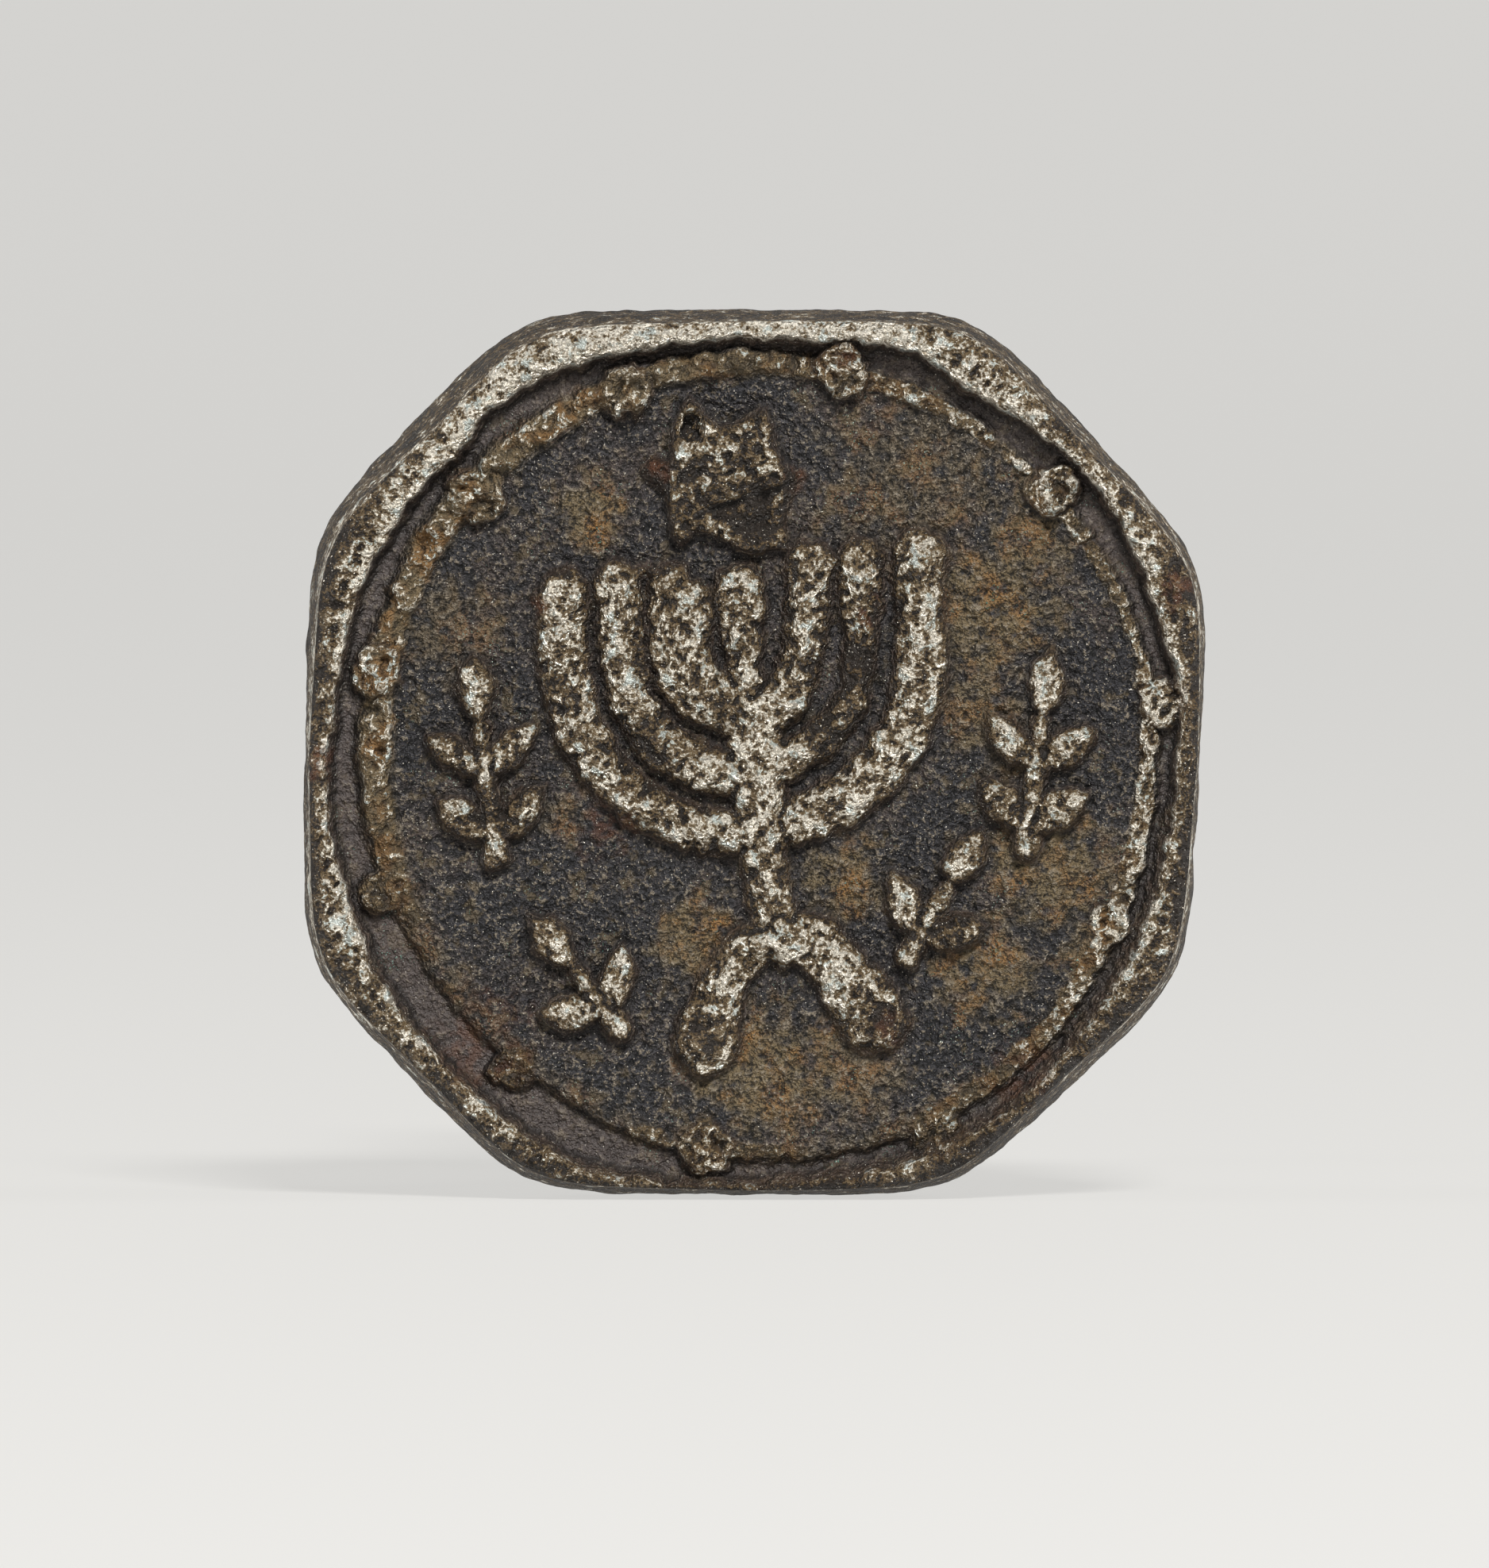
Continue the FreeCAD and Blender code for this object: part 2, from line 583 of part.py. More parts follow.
def star_corners(inset):
    """The star's points and notches in turn, drawn in towards its centre."""
    corners = []
    for i in range(2 * STAR_POINT_COUNT):
        angle = math.radians(STAR_ANGLE + 90 + 180 * i / STAR_POINT_COUNT)
        reach = f"({'Sizes.star_waist' if i % 2 else 'Sizes.star_radius'} - {inset})"
        x = f"{math.cos(angle):.6f} * {reach} - Sizes.star_shift"
        y = f"{math.sin(angle):.6f} * {reach} + Sizes.star_rise"
        corners.append((x, y))
    return corners


def raise_star(body):
    """The star, whose sides slope in to a smaller star on top."""
    slope = "(Sizes.relief_height * tan(Sizes.relief_draft_angle * 1 deg))"
    foot = new_sketch(body, "star_outline", "XZ_Plane", offset=FIELD)
    add_polygon(foot, star_corners(0))
    top = new_sketch(body, "star_top", "XZ_Plane", offset=f"{FIELD} + Sizes.relief_height")
    add_polygon(top, star_corners(slope))
    star = body.newObject("PartDesign::AdditiveLoft", "star")
    star.Profile = foot
    star.Sections = [top]
    star.Ruled = True
    doc.recompute()


def sprig_place(middle_shares, lean, along, aside):
    """A place that lies along a sprig and to its right, from the middle of its rib."""
    x_share, y_share = middle_shares
    cosine, sine = math.cos(math.radians(lean)), math.sin(math.radians(lean))
    x = f"{x_share} * {BORDER_RADIUS} + {sine:.6f} * ({along}) + {cosine:.6f} * ({aside})"
    y = f"{y_share} * {BORDER_RADIUS} + {cosine:.6f} * ({along}) - {sine:.6f} * ({aside})"
    return x, y


def rib_corners(middle_shares, length_share, lean):
    """A slender rib, half as wide at its top as at its foot."""
    half_length = f"{length_share / 2} * {BORDER_RADIUS}"
    ends = ((f"-({half_length})", "Sizes.rib_width / 2"), (half_length, "Sizes.rib_width / 4"))
    right = [sprig_place(middle_shares, lean, along, aside) for along, aside in ends]
    left = [sprig_place(middle_shares, lean, along, f"-{aside}") for along, aside in reversed(ends)]
    return right + left


def leaf_ends(middle_shares, lean, along_share, spread):
    """The foot and the point of a leaf that starts at a share of the border's radius along its sprig."""
    cosine, sine = math.cos(math.radians(spread)), math.sin(math.radians(spread))
    ends = []
    for out in ("Sizes.leaf_start", "(Sizes.leaf_start + Sizes.leaf_length)"):
        along = f"{along_share:.4f} * {BORDER_RADIUS} + {cosine:.6f} * {out}"
        ends.append(sprig_place(middle_shares, lean, along, f"{sine:.6f} * {out}"))
    return ends


def raise_sprigs(body):
    """Four leafy sprigs beside the lamp: their ribs, then the leaves of each side, with the top ones."""
    ribs, left_leaves, right_leaves = [], [], []
    for middle_shares, length_share, lean, pairs in SPRIG_SHARES:
        ribs.append((add_polygon, rib_corners(middle_shares, length_share, lean)))
        left_leaves.append((add_leaf, *leaf_ends(middle_shares, lean, length_share / 2, 0)))
        for i in range(pairs):
            along_share = length_share * ((i + LOWEST_PAIR_SHARE) / pairs - 0.5)
            for leaves, angle in ((left_leaves, -LEAF_ANGLE), (right_leaves, LEAF_ANGLE)):
                leaves.append((add_leaf, *leaf_ends(middle_shares, lean, along_share, angle)))
    raise_relief(body, "sprig_ribs", ribs)
    for name, leaves in (("left_leaves", left_leaves), ("right_leaves", right_leaves)):
        pad(body, name, draw_on_field(body, name, leaves), "Sizes.leaf_height")


def make_seal_plate():
    """The cast seal: a rimmed plate with a beaded border and its picture in relief."""
    body = new_body("seal_plate")
    shape_blank(body)
    sink_face(body)
    raise_border(body)
    raise_lamp(body)
    raise_star(body)
    raise_sprigs(body)
    return body


hoop = make_hoop()
seam_solder = make_seam_solder()
bezel_solder = make_bezel_solder(hoop, seam_solder)
seal_plate = make_seal_plate()
pieces = [seal_plate, hoop, bezel_solder, seam_solder]

# Nothing is written unless every feature worked and every piece is a sound solid
for feature in doc.Objects:
    if {"Invalid", "Error"} & set(feature.State):
        raise RuntimeError(f"{feature.Label} did not work: {feature.State}")
for piece in pieces:
    if piece.Shape.isNull() or not piece.Shape.isValid() or len(piece.Shape.Solids) != 1:
        raise RuntimeError(f"{piece.Label} is not one sound solid")

os.makedirs("parts", exist_ok=True)
for piece in pieces:
    piece.Shape.exportStep(f"parts/{piece.Label}.step")
    box = piece.Shape.optimalBoundingBox(False, False)
    lengths = f"{box.XLength:.2f} x {box.YLength:.2f} x {box.ZLength:.2f} mm"
    print(f"{piece.Label}: {piece.Shape.Volume:.2f} mm3, {lengths}")
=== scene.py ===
# %% [markdown]
# # A worn seal ring on its edge
#
# The ring is of copper alloy: a cast eight-sided seal with its picture in relief, and a forged hoop soldered to its
# back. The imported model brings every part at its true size, so what is left is the surface that long use and long
# burial gave it. Loading the model gives the frame that everything below fits.

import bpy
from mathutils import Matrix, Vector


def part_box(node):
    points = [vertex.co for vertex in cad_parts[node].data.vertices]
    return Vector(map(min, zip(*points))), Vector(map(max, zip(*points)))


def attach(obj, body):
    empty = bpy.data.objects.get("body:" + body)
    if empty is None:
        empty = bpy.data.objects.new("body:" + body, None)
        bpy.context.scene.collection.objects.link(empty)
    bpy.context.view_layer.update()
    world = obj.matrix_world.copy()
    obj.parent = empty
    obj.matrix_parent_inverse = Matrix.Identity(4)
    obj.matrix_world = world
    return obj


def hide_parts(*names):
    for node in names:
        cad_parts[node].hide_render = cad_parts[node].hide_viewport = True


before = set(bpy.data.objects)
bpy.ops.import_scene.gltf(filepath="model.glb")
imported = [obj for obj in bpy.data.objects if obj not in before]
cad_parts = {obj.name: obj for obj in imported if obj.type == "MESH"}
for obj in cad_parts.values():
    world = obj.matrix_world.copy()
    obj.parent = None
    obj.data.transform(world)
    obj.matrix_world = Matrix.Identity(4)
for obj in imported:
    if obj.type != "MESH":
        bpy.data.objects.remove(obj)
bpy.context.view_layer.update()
print("parts:", sorted(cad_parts))

# %% Other tools
import math

import bmesh
import bpy
import numpy as np
from mathutils import Matrix, Vector, noise

MM = 0.001
print("one unit of the lengths below is", MM, "m")

# %% [markdown]
# The camera looks at the seal square on, from a little above and from far away, as a long lens does, so that the
# seal's sides hardly show. How much of the picture's height the seal takes sets the angle of view, and a small
# shift puts the ring where the photograph has it without turning the lens.

# %% Camera
IMAGE_WIDTH, IMAGE_HEIGHT = 1876, 1976
SEAL_CENTRE = (951.5, 951.5)
VIEW_HEIGHT = 35.32 * MM
CAMERA_DISTANCE = 600 * MM
CAMERA_RISE = math.radians(1.6)
SENSOR = 36
AIM_FORWARD = 12.5 * MM


def add_object(name, data):
    thing = bpy.data.objects.new(name, data)
    bpy.context.scene.collection.objects.link(thing)
    return thing


def place_camera():
    """A long lens aimed at the seal's face, shifted so that the ring stands high and right of centre."""
    lens = bpy.data.cameras.new("long_lens")
    lens.sensor_width = SENSOR
    lens.lens = SENSOR * CAMERA_DISTANCE / VIEW_HEIGHT
    lens.clip_start, lens.clip_end = 10 * MM, 10
    lens.shift_x = (IMAGE_WIDTH / 2 - SEAL_CENTRE[0]) / IMAGE_HEIGHT
    lens.shift_y = (SEAL_CENTRE[1] - IMAGE_HEIGHT / 2) / IMAGE_HEIGHT
    camera = add_object("camera", lens)
    back_off = Vector((0, -math.cos(CAMERA_RISE), math.sin(CAMERA_RISE))) * CAMERA_DISTANCE
    camera.location = Vector((0, -AIM_FORWARD, 0)) + back_off
    camera.rotation_euler = (math.radians(90) - CAMERA_RISE, 0, 0)
    bpy.context.scene.camera = camera
    return camera


camera = place_camera()
print(f"lens {camera.data.lens:.0f} mm, shift {camera.data.shift_x:.4f}, {camera.data.shift_y:.4f}")

# %% [markdown]
# A worn surface is never even, so most shapes below are stirred with noise. One helper turns noise at a list of
# points into an array, another finds scattered pits, and two more give the smooth steps and the closed curves
# that the seal's profile needs.

# %% Helpers for arrays of points


def crumble(x, y, size, octaves=3, seed=0, z=0):
    """Fractal noise between about -1 and 1 at each point, with lumps of a given size."""
    z = np.broadcast_to(z, np.shape(x))
    return np.array([
        noise.fractal((a / size + 17.3 * seed, b / size, c / size + 5.1 * seed), 1.0, 2.0, octaves)
        for a, b, c in zip(x, y, z)
    ])


def scatter(x, y, size):
    """How near each point is to one of many scattered points, from 0 between them to 1 on one of them."""
    gap = np.array([noise.voronoi((a / size, b / size, 0.5))[0][0] for a, b in zip(x, y)])
    return smooth_step(0.62, 0.12, gap)


def smooth_step(start, end, values):
    """Runs smoothly from 0 at start to 1 at end. Start may be the larger one."""
    share = np.clip((values - start) / (end - start), 0, 1)
    return share * share * (3 - 2 * share)


def around(values, angles):
    """A closed curve through values that stand at even angles, anticlockwise from +X."""
    stations = np.arange(len(values)) * 360 / len(values)
    return np.interp(np.degrees(angles) % 360, stations, values, period=360)


print("step from 0 to 1:", smooth_step(0, 1, np.array([0, 0.25, 0.5, 1])))

# %% [markdown]
# The seal's outline is a hand-made octagon: eight sides, each facing its own way at its own distance, with worn
# corners. Adding the sides' reach after raising it to a high power rounds the corners, and that power says how
# much. The face stops short of this outline, because the sides of the seal lean in.

# %% Outline of the seal
SIDES = ((42.8, 10.5), (90.0, 9.99), (135.5, 10.74), (179.1, 10.2), (224.6, 10.74), (269.6, 10.03), (312.9, 10.47),
         (357.3, 10.14))
CORNER_SOFTNESS = 22
FACE_INSET = (0.14, 0.34, 0.28, 0.52, 0.18, 0.40, 0.24, 0.42)


def outline_radius(angles):
    """How far the seal reaches from its middle in each direction."""
    pull = 0
    for facing, distance in SIDES:
        pull = pull + (np.maximum(0, np.cos(angles - math.radians(facing))) / distance) ** CORNER_SOFTNESS
    return pull ** (-1 / CORNER_SOFTNESS)


def face_radius(angles):
    return outline_radius(angles) - around(FACE_INSET, angles)


print("reach:", outline_radius(np.radians(np.arange(0, 360, 45))).round(2))

# %% [markdown]
# Round the face run a rim, a channel and a beaded line. All three wander, so each is a closed curve through
# radii that were measured round the photographed seal. The line is tall at the upper left and nearly worn away
# at the lower left, where only the step down from the picture's field is left of it. The wear of rim and line, and
# the earth that clings to the line, change round the seal in the same way. The rim's wear is highest at the top and
# upper left and lowest at the bottom: partly rubbed metal, partly painted highlight where the light falls.

# %% Rim, channel and border
FLOOR_LEVEL, RIM_RISE = 12.2, 0.7
RIM_FOOT = (9.52, 9.70, 9.57, 9.59, 9.70, 9.75, 9.66, 9.50, 9.43, 9.66, 9.50, 9.30,
            9.27, 9.30, 9.32, 9.55, 9.62, 9.68, 9.41, 9.57, 9.55, 9.55, 9.50, 9.46,
            9.55, 9.62, 9.64, 9.64, 9.77, 9.78, 9.77, 9.84, 9.93, 9.96, 9.82, 9.66,
            9.58, 9.58, 9.62, 9.70, 9.70, 9.72, 9.62, 9.56, 9.54, 9.52, 9.44, 9.46)
RIM_WALL = (0.30, 0.26, 0.30, 0.36, 0.34, 0.26, 0.3, 0.34, 0.36, 0.48, 0.6, 0.56)
BORDER_MIDDLE = (8.89, 9.00, 8.89, 8.86, 8.84, 8.75, 8.79, 8.75, 8.72, 8.70, 8.68, 8.57,
                 8.56, 8.52, 8.52, 8.57, 8.65, 8.84, 8.93, 9.04, 9.07, 9.06, 8.93, 8.89)
BORDER_HALF = (0.25, 0.16, 0.21, 0.21, 0.23, 0.27, 0.34, 0.32, 0.36, 0.36, 0.36, 0.37,
               0.39, 0.37, 0.32, 0.28, 0.27, 0.25, 0.23, 0.21, 0.25, 0.27, 0.28, 0.27)
BORDER_RISE = (0.24, 0.16, 0.18, 0.16, 0.18, 0.22, 0.30, 0.30, 0.32, 0.34, 0.34, 0.34,
               0.34, 0.20, 0.06, 0.04, 0.08, 0.14, 0.12, 0.06, 0.20, 0.24, 0.20, 0.24)
FIELD_STEP = (0.12, 0.08, 0.08, 0.08, 0.06, 0.08, 0.14, 0.24, 0.26, 0.24, 0.20, 0.15)
BEADS = ((2.05, 8.57, 0.57, 0.5), (6.79, 5.95, 0.57, 0.46), (9.17, 1.17, 0.53, 0.34), (8.03, -3.85, 0.5, 0.28),
         (4.08, -8.44, 0.53, 0.24), (-0.99, -8.81, 0.59, 0.34), (-5.42, -7.07, 0.53, 0.22),
         (-8.39, -3.14, 0.5, 0.24), (-8.51, 1.88, 0.55, 0.4), (-6.25, 5.83, 0.6, 0.5), (-2.93, 8.14, 0.68, 0.5))
# Rim wear round the seal, raised at the top and upper left as painted highlight where the light falls.
RIM_WEAR_AND_HIGHLIGHT = (0.40, 0.48, 0.56, 0.60, 0.74, 0.96, 1.02, 0.98, 0.92, 0.74, 0.52, 0.48,
            0.46, 0.52, 0.54, 0.44, 0.42, 0.34, 0.28, 0.34, 0.36, 0.38, 0.48, 0.42)
BORDER_WEAR = (0.48, 0.30, 0.30, 0.40, 0.32, 0.34, 0.16, 0.26, 0.30, 0.28, 0.32, 0.30,
               0.34, 0.20, 0.05, 0.05, 0.14, 0.28, 0.18, 0.12, 0.22, 0.34, 0.48, 0.54)
BORDER_EARTH = (0.2, 0.3, 0.3, 0.5, 0.8, 0.9, 0.8, 0.4, 0.2, 0.3, 0.5, 0.4)


def raise_beads(x, y, ragged):
    """The beads' share and height at each point."""
    share, rise = np.zeros_like(x), np.zeros_like(x)
    for bead_x, bead_y, bead_radius, bead_rise in BEADS:
        reach = np.hypot(x - bead_x, y - bead_y) / bead_radius + ragged
        own = smooth_step(1.2, 0.85, reach)
        share = np.maximum(share, own)
        rise = np.maximum(rise, bead_rise * own * (1 - 0.12 * smooth_step(0.7, 0.2, reach)))
    return share, rise


def raise_border(x, y, broad, lumps):
    """The rim, the border and the field: shares, heights above the channel's floor, wear and painted highlight."""
    angle, radius = np.arctan2(y, x), np.hypot(x, y)
    foot, wall = around(RIM_FOOT, angle), around(RIM_WALL, angle)
    rim = smooth_step(foot - wall * 0.5, foot + wall * 0.5, radius)
    outwards = np.clip((radius - foot) / np.maximum(face_radius(angle) - foot, 0.2), 0, 1)
    middle, half = around(BORDER_MIDDLE, angle), around(BORDER_HALF, angle)
    line = smooth_step(1.4, 0.5, np.abs(radius - middle) / half)
    line_rise = around(BORDER_RISE, angle) * line * np.clip(0.95 + 0.5 * broad + 0.35 * lumps, 0, 1.5)
    edge = middle + half * 0.7
    field = smooth_step(edge + 0.13, edge - 0.13, radius)
    bead, bead_rise = raise_beads(x, y, 0.2 * lumps + 0.25 * broad)
    return {
        "rim": rim, "field": field, "bead": bead, "line": line * np.clip(line_rise / 0.14, 0, 1),
        "rim_rise": RIM_RISE * rim * (1 - 0.16 * (1 - outwards) ** 2),
        "field_rise": field * (0.12 + (around(FIELD_STEP, angle) - 0.12) * smooth_step(4, 8.6, radius)),
        "border_rise": np.maximum(line_rise * (1 - rim), bead_rise * (1 + 0.4 * lumps)),
        "rim_wear_and_highlight": around(RIM_WEAR_AND_HIGHLIGHT, angle) + 0.12 - 0.55 * outwards,
        "border_wear": around(BORDER_WEAR, angle) + 0.08 * bead,
        "earth": around(BORDER_EARTH, angle) * np.maximum(line, 0.5 * bead),
    }


print(len(BEADS), "beads; rim foot from", min(RIM_FOOT), "to", max(RIM_FOOT))

# %% [markdown]
# The picture is a lamp with seven branches, cut as strokes of changing width. Each stroke is a row of places with
# half its width there, and the distance to the nearest one says how far a point of the face is inside it. The
# star above is a worn polygon, measured the same way.

# %% Lamp and star
STROKES = {
    "outer_left": (
        (-4.28, 3.58, 0.51), (-4.34, 2.7, 0.52), (-4.18, 1.45, 0.5), (-3.92, 0.51, 0.5), (-3.32, -0.44, 0.48),
        (-2.5, -1.18, 0.46), (-1.45, -1.68, 0.44), (-0.51, -1.81, 0.43), (0.18, -1.73, 0.43)),
    "outer_right": (
        (0.95, -1.52, 0.48), (1.98, -1.06, 0.53), (2.86, -0.31, 0.53), (3.42, 0.51, 0.53), (3.74, 1.45, 0.52),
        (3.8, 2.7, 0.48), (3.71, 3.76, 0.5), (3.74, 4.44, 0.53)),
    "middle_left": (
        (-3.13, 3.82, 0.42), (-3.02, 3.25, 0.49), (-3.0, 2.17, 0.44), (-2.72, 1.13, 0.45), (-2.02, 0.15, 0.48),
        (-1.22, -0.32, 0.47), (-0.4, -0.5, 0.42)),
    "middle_right": (
        (0.43, -0.31, 0.39), (1.36, 0.19, 0.36), (1.98, 0.82, 0.32), (2.3, 1.45, 0.26), (2.39, 2.37, 0.26),
        (2.41, 3.3, 0.38), (2.43, 3.75, 0.45), (2.39, 4.33, 0.46)),
    "inner_left": (
        (-1.88, 3.78, 0.43), (-1.62, 3.2, 0.69), (-1.66, 2.5, 0.68), (-1.6, 1.9, 0.62), (-1.22, 1.38, 0.6),
        (-0.6, 1.15, 0.6), (-0.1, 0.95, 0.6)),
    "inner_right": (
        (0.1, 0.92, 0.55), (0.6, 1.2, 0.5), (0.96, 1.75, 0.42), (1.14, 2.4, 0.37), (1.24, 3.2, 0.43),
        (1.25, 4.24, 0.5)),
    "candle": (
        (-0.3, 3.7, 0.52), (-0.3, 3.25, 0.52), (-0.22, 2.55, 0.38), (-0.18, 2.0, 0.3), (-0.15, 1.4, 0.36),
        (0.06, 0.2, 0.43)),
    "stem": (
        (-0.03, 0.92, 0.53), (0.08, -0.15, 0.57), (0.15, -1.04, 0.57), (0.24, -1.75, 0.5), (0.24, -2.29, 0.43),
        (0.29, -3.0, 0.43), (0.44, -3.53, 0.44), (0.6, -4.15, 0.53)),
    "left_leg": (
        (0.6, -4.07, 0.46), (-0.12, -4.39, 0.43), (-0.6, -4.95, 0.43), (-0.86, -5.67, 0.5), (-1.06, -6.24, 0.68),
        (-1.08, -6.52, 0.62)),
    "web": (
        (-2.82, 3.96, 0.05), (-2.55, 4.08, 0.02), (-2.28, 4.08, 0.02), (-2.05, 3.9, 0.05)),
    "right_leg": (
        (0.68, -4.03, 0.5), (1.4, -4.24, 0.53), (1.97, -4.87, 0.57), (2.43, -5.52, 0.68), (2.7, -5.95, 0.71)),
}
STAR = ((-1.46, 7.93), (-1.12, 7.62), (-0.81, 7.4), (-0.37, 7.44), (0.25, 7.66), (0.34, 7.39), (0.46, 6.97),
        (0.62, 6.46), (1.1, 6.21), (0.84, 5.82), (0.66, 5.38), (0.64, 5.08), (0.82, 4.66), (0.37, 4.64),
        (-0.07, 4.5), (-0.51, 4.76), (-0.96, 4.97), (-1.34, 5.02), (-1.6, 4.73), (-1.8, 5.05), (-1.84, 5.62),
        (-1.99, 5.91), (-2.34, 6.12), (-2.52, 6.38), (-2.25, 6.65), (-1.86, 6.52), (-1.7, 6.97), (-1.72, 7.39),
        (-1.63, 7.74))
STAR_PIT = (-1.42, 7.33)
LEDGES = ((-0.96, 5.62, 0.17), (-0.69, 5.11, 0.13))


def nearest_on_side(x, y, start, end):
    """The place on a straight side that is nearest to each point, as a share of the side, and the gap to it."""
    run_x, run_y = end[0] - start[0], end[1] - start[1]
    along = np.clip(((x - start[0]) * run_x + (y - start[1]) * run_y) / (run_x ** 2 + run_y ** 2), 0, 1)
    return along, np.hypot(x - start[0] - along * run_x, y - start[1] - along * run_y)


def inside_stroke(x, y, places):
    """How far each point is inside a stroke. Outside it the value is negative."""
    depth = np.full_like(x, -9)
    for start, end in zip(places, places[1:]):
        along, gap = nearest_on_side(x, y, start, end)
        depth = np.maximum(depth, start[2] + along * (end[2] - start[2]) - gap)
    return depth


def inside_outline(x, y, corners):
    """How far each point is inside a closed outline of straight sides, negative outside it."""
    gap = np.full_like(x, 9)
    within = np.zeros(x.shape, bool)
    for start, end in zip(corners, corners[1:] + corners[:1]):
        gap = np.minimum(gap, nearest_on_side(x, y, start, end)[1])
        crossing = (end[0] - start[0]) * (y - start[1]) / (end[1] - start[1]) + start[0]
        within ^= ((start[1] > y) != (end[1] > y)) & (x < crossing)
    return np.where(within, gap, -gap)


print(len(STROKES), "strokes and a star with", len(STAR), "corners")

# %% [markdown]
# Four leafy sprigs stand beside the lamp. They follow a rule instead of a drawing: a tapering rib, pairs of
# pointed leaves that leave it at one angle, and a leaf at the top. The numbers are the CAD model's own.

# %% Sprigs
BORDER_RADIUS = 8.65
SPRIGS = (((-0.691, -0.096), 0.34, -7.0, 2), ((0.730, -0.076), 0.33, 7.0, 2),
          ((-0.406, -0.637), 0.19, -38.0, 1), ((0.451, -0.437), 0.19, 30.0, 1))
LEAF_ANGLE, LEAF_LENGTH, LEAF_WIDTH, LEAF_START = 50, 1.45, 0.66, 0.12
RIB_WIDTH = 0.46
LOWEST_PAIR = 0.25


def inside_leaf(x, y, foot, heading):
    """How far each point is inside a leaf that starts at its foot and points along a heading."""
    along = (x - foot[0]) * math.sin(heading) + (y - foot[1]) * math.cos(heading)
    aside = (x - foot[0]) * math.cos(heading) - (y - foot[1]) * math.sin(heading)
    half = LEAF_WIDTH / 2 * (1 - (2 * along / LEAF_LENGTH - 1) ** 2)
    return half - np.abs(aside)


def inside_sprigs(x, y):
    """How far each point is inside the nearest rib or leaf."""
    depth = np.full_like(x, -9)
    for (share_x, share_y), length_share, lean, pairs in SPRIGS:
        middle_x, middle_y = share_x * BORDER_RADIUS, share_y * BORDER_RADIUS
        lean, half = math.radians(lean), length_share * BORDER_RADIUS / 2
        ahead = (math.sin(lean), math.cos(lean))
        foot = (middle_x - half * ahead[0], middle_y - half * ahead[1], RIB_WIDTH / 2)
        tip = (middle_x + half * ahead[0], middle_y + half * ahead[1], RIB_WIDTH / 4)
        depth = np.maximum(depth, inside_stroke(x, y, (foot, tip)))
        leaves = [(half, 0)]
        for i in range(pairs):
            along = length_share * BORDER_RADIUS * ((i + LOWEST_PAIR) / pairs - 0.5)
            leaves += [(along, -LEAF_ANGLE), (along, LEAF_ANGLE)]
        for along, spread in leaves:
            heading = lean + math.radians(spread)
            start = (middle_x + along * ahead[0] + LEAF_START * math.sin(heading),
                     middle_y + along * ahead[1] + LEAF_START * math.cos(heading))
            depth = np.maximum(depth, inside_leaf(x, y, start, heading))
    return depth


print(len(SPRIGS), "sprigs with", sum(2 * pairs + 1 for *_, pairs in SPRIGS), "leaves")

# %% [markdown]
# Now the face is put together. Every shape gives a share between 0 and 1 with a soft edge, the shares are turned
# into heights, and wear is added last: wandering edges, pits in what stands proud, fine grain in the field, and
# crusts of earth that sit on top. The shares are kept for the finish.

# %% Heights of the face
PICTURE_RISE, LEAF_RISE = 0.45, 0.36
BROAD_SIZE, TATTER_SIZE, LUMP_SIZE, PIT_GAP, GRAIN_SIZE = 1.1, 0.45, 0.34, 0.34, 0.18
CRUSTS = ((-3.67, 5.36, 0.75, 0.9), (5.31, 3.25, 1.5, 0.95), (3.6, 6.08, 1.96, 0.45), (-1.27, -4.15, 0.98, 1.0),
          (0.1, -7.2, 1.5, 0.9), (1.93, -2.82, 0.95, 0.8), (6.73, -2.6, 1.4, 0.95), (5.13, -4.87, 1.2, 0.85),
          (-6.96, 2.87, 1.07, 0.45), (6.2, 4.9, 1.2, 0.7), (1.57, -7.0, 1.2, 0.7), (7.8, -4.24, 0.89, 0.7),
          (5.0, 1.0, 1.0, 0.7), (2.4, -7.3, 1.0, 0.6), (-4.3, -1.4, 0.6, 0.5), (5.9, 0.2, 0.9, 0.5))
WORN_SPOTS = ((2.4, 2.0, 0.75, -0.5), (1.9, 0.7, 0.8, -0.35), (1.2, 0.0, 0.6, -0.2), (-4.35, 1.3, 0.5, -0.25),
              (-0.1, 5.15, 0.7, -0.26), (-0.7, 6.2, 1.9, -0.18), (-1.25, -6.3, 0.7, -0.3), (2.95, -6.1, 0.5, -0.3),
              (0.1, -0.5, 1.5, 0.16), (-1.9, 2.6, 0.8, 0.06), (-2.6, 0.2, 0.9, -0.18), (3.2, 0.2, 0.9, 0.1),
              (-6.3, 2.9, 0.9, -0.2), (-5.6, -0.9, 0.9, -0.25), (6.6, 2.9, 0.9, -0.15), (4.1, -3.9, 0.8, -0.1),
              (1.6, -4.8, 1.3, 0.16), (-0.5, -5.0, 0.8, 0.12), (-0.2, 3.6, 1.6, -0.06))
RUSTS = ((9.54, 3.67, 0.39, 0.8), (2.02, 8.92, 0.28, 0.8), (2.86, 7.5, 0.43, 0.5), (-6.08, -6.38, 1.07, 0.5),
         (-2.13, 6.4, 0.28, 0.9), (-4.9, 3.32, 0.25, 0.9), (2.64, 3.23, 0.32, 0.7), (6.02, -7.27, 0.8, 0.5),
         (3.0, -6.2, 0.36, 0.5), (-3.41, -1.57, 0.71, 0.7), (0.86, 6.16, 0.32, 0.7), (-9.81, -0.15, 0.39, 0.8))


def spread_spots(x, y, spots, ragged):
    """The strongest of some round spots with ragged edges at each point."""
    strength = np.zeros_like(x)
    for spot_x, spot_y, spot_radius, spot_strength in spots:
        reach = np.hypot(x - spot_x, y - spot_y) / spot_radius
        strength = np.maximum(strength, spot_strength * smooth_step(1.25, 0.45, reach + 0.6 * ragged))
    return strength


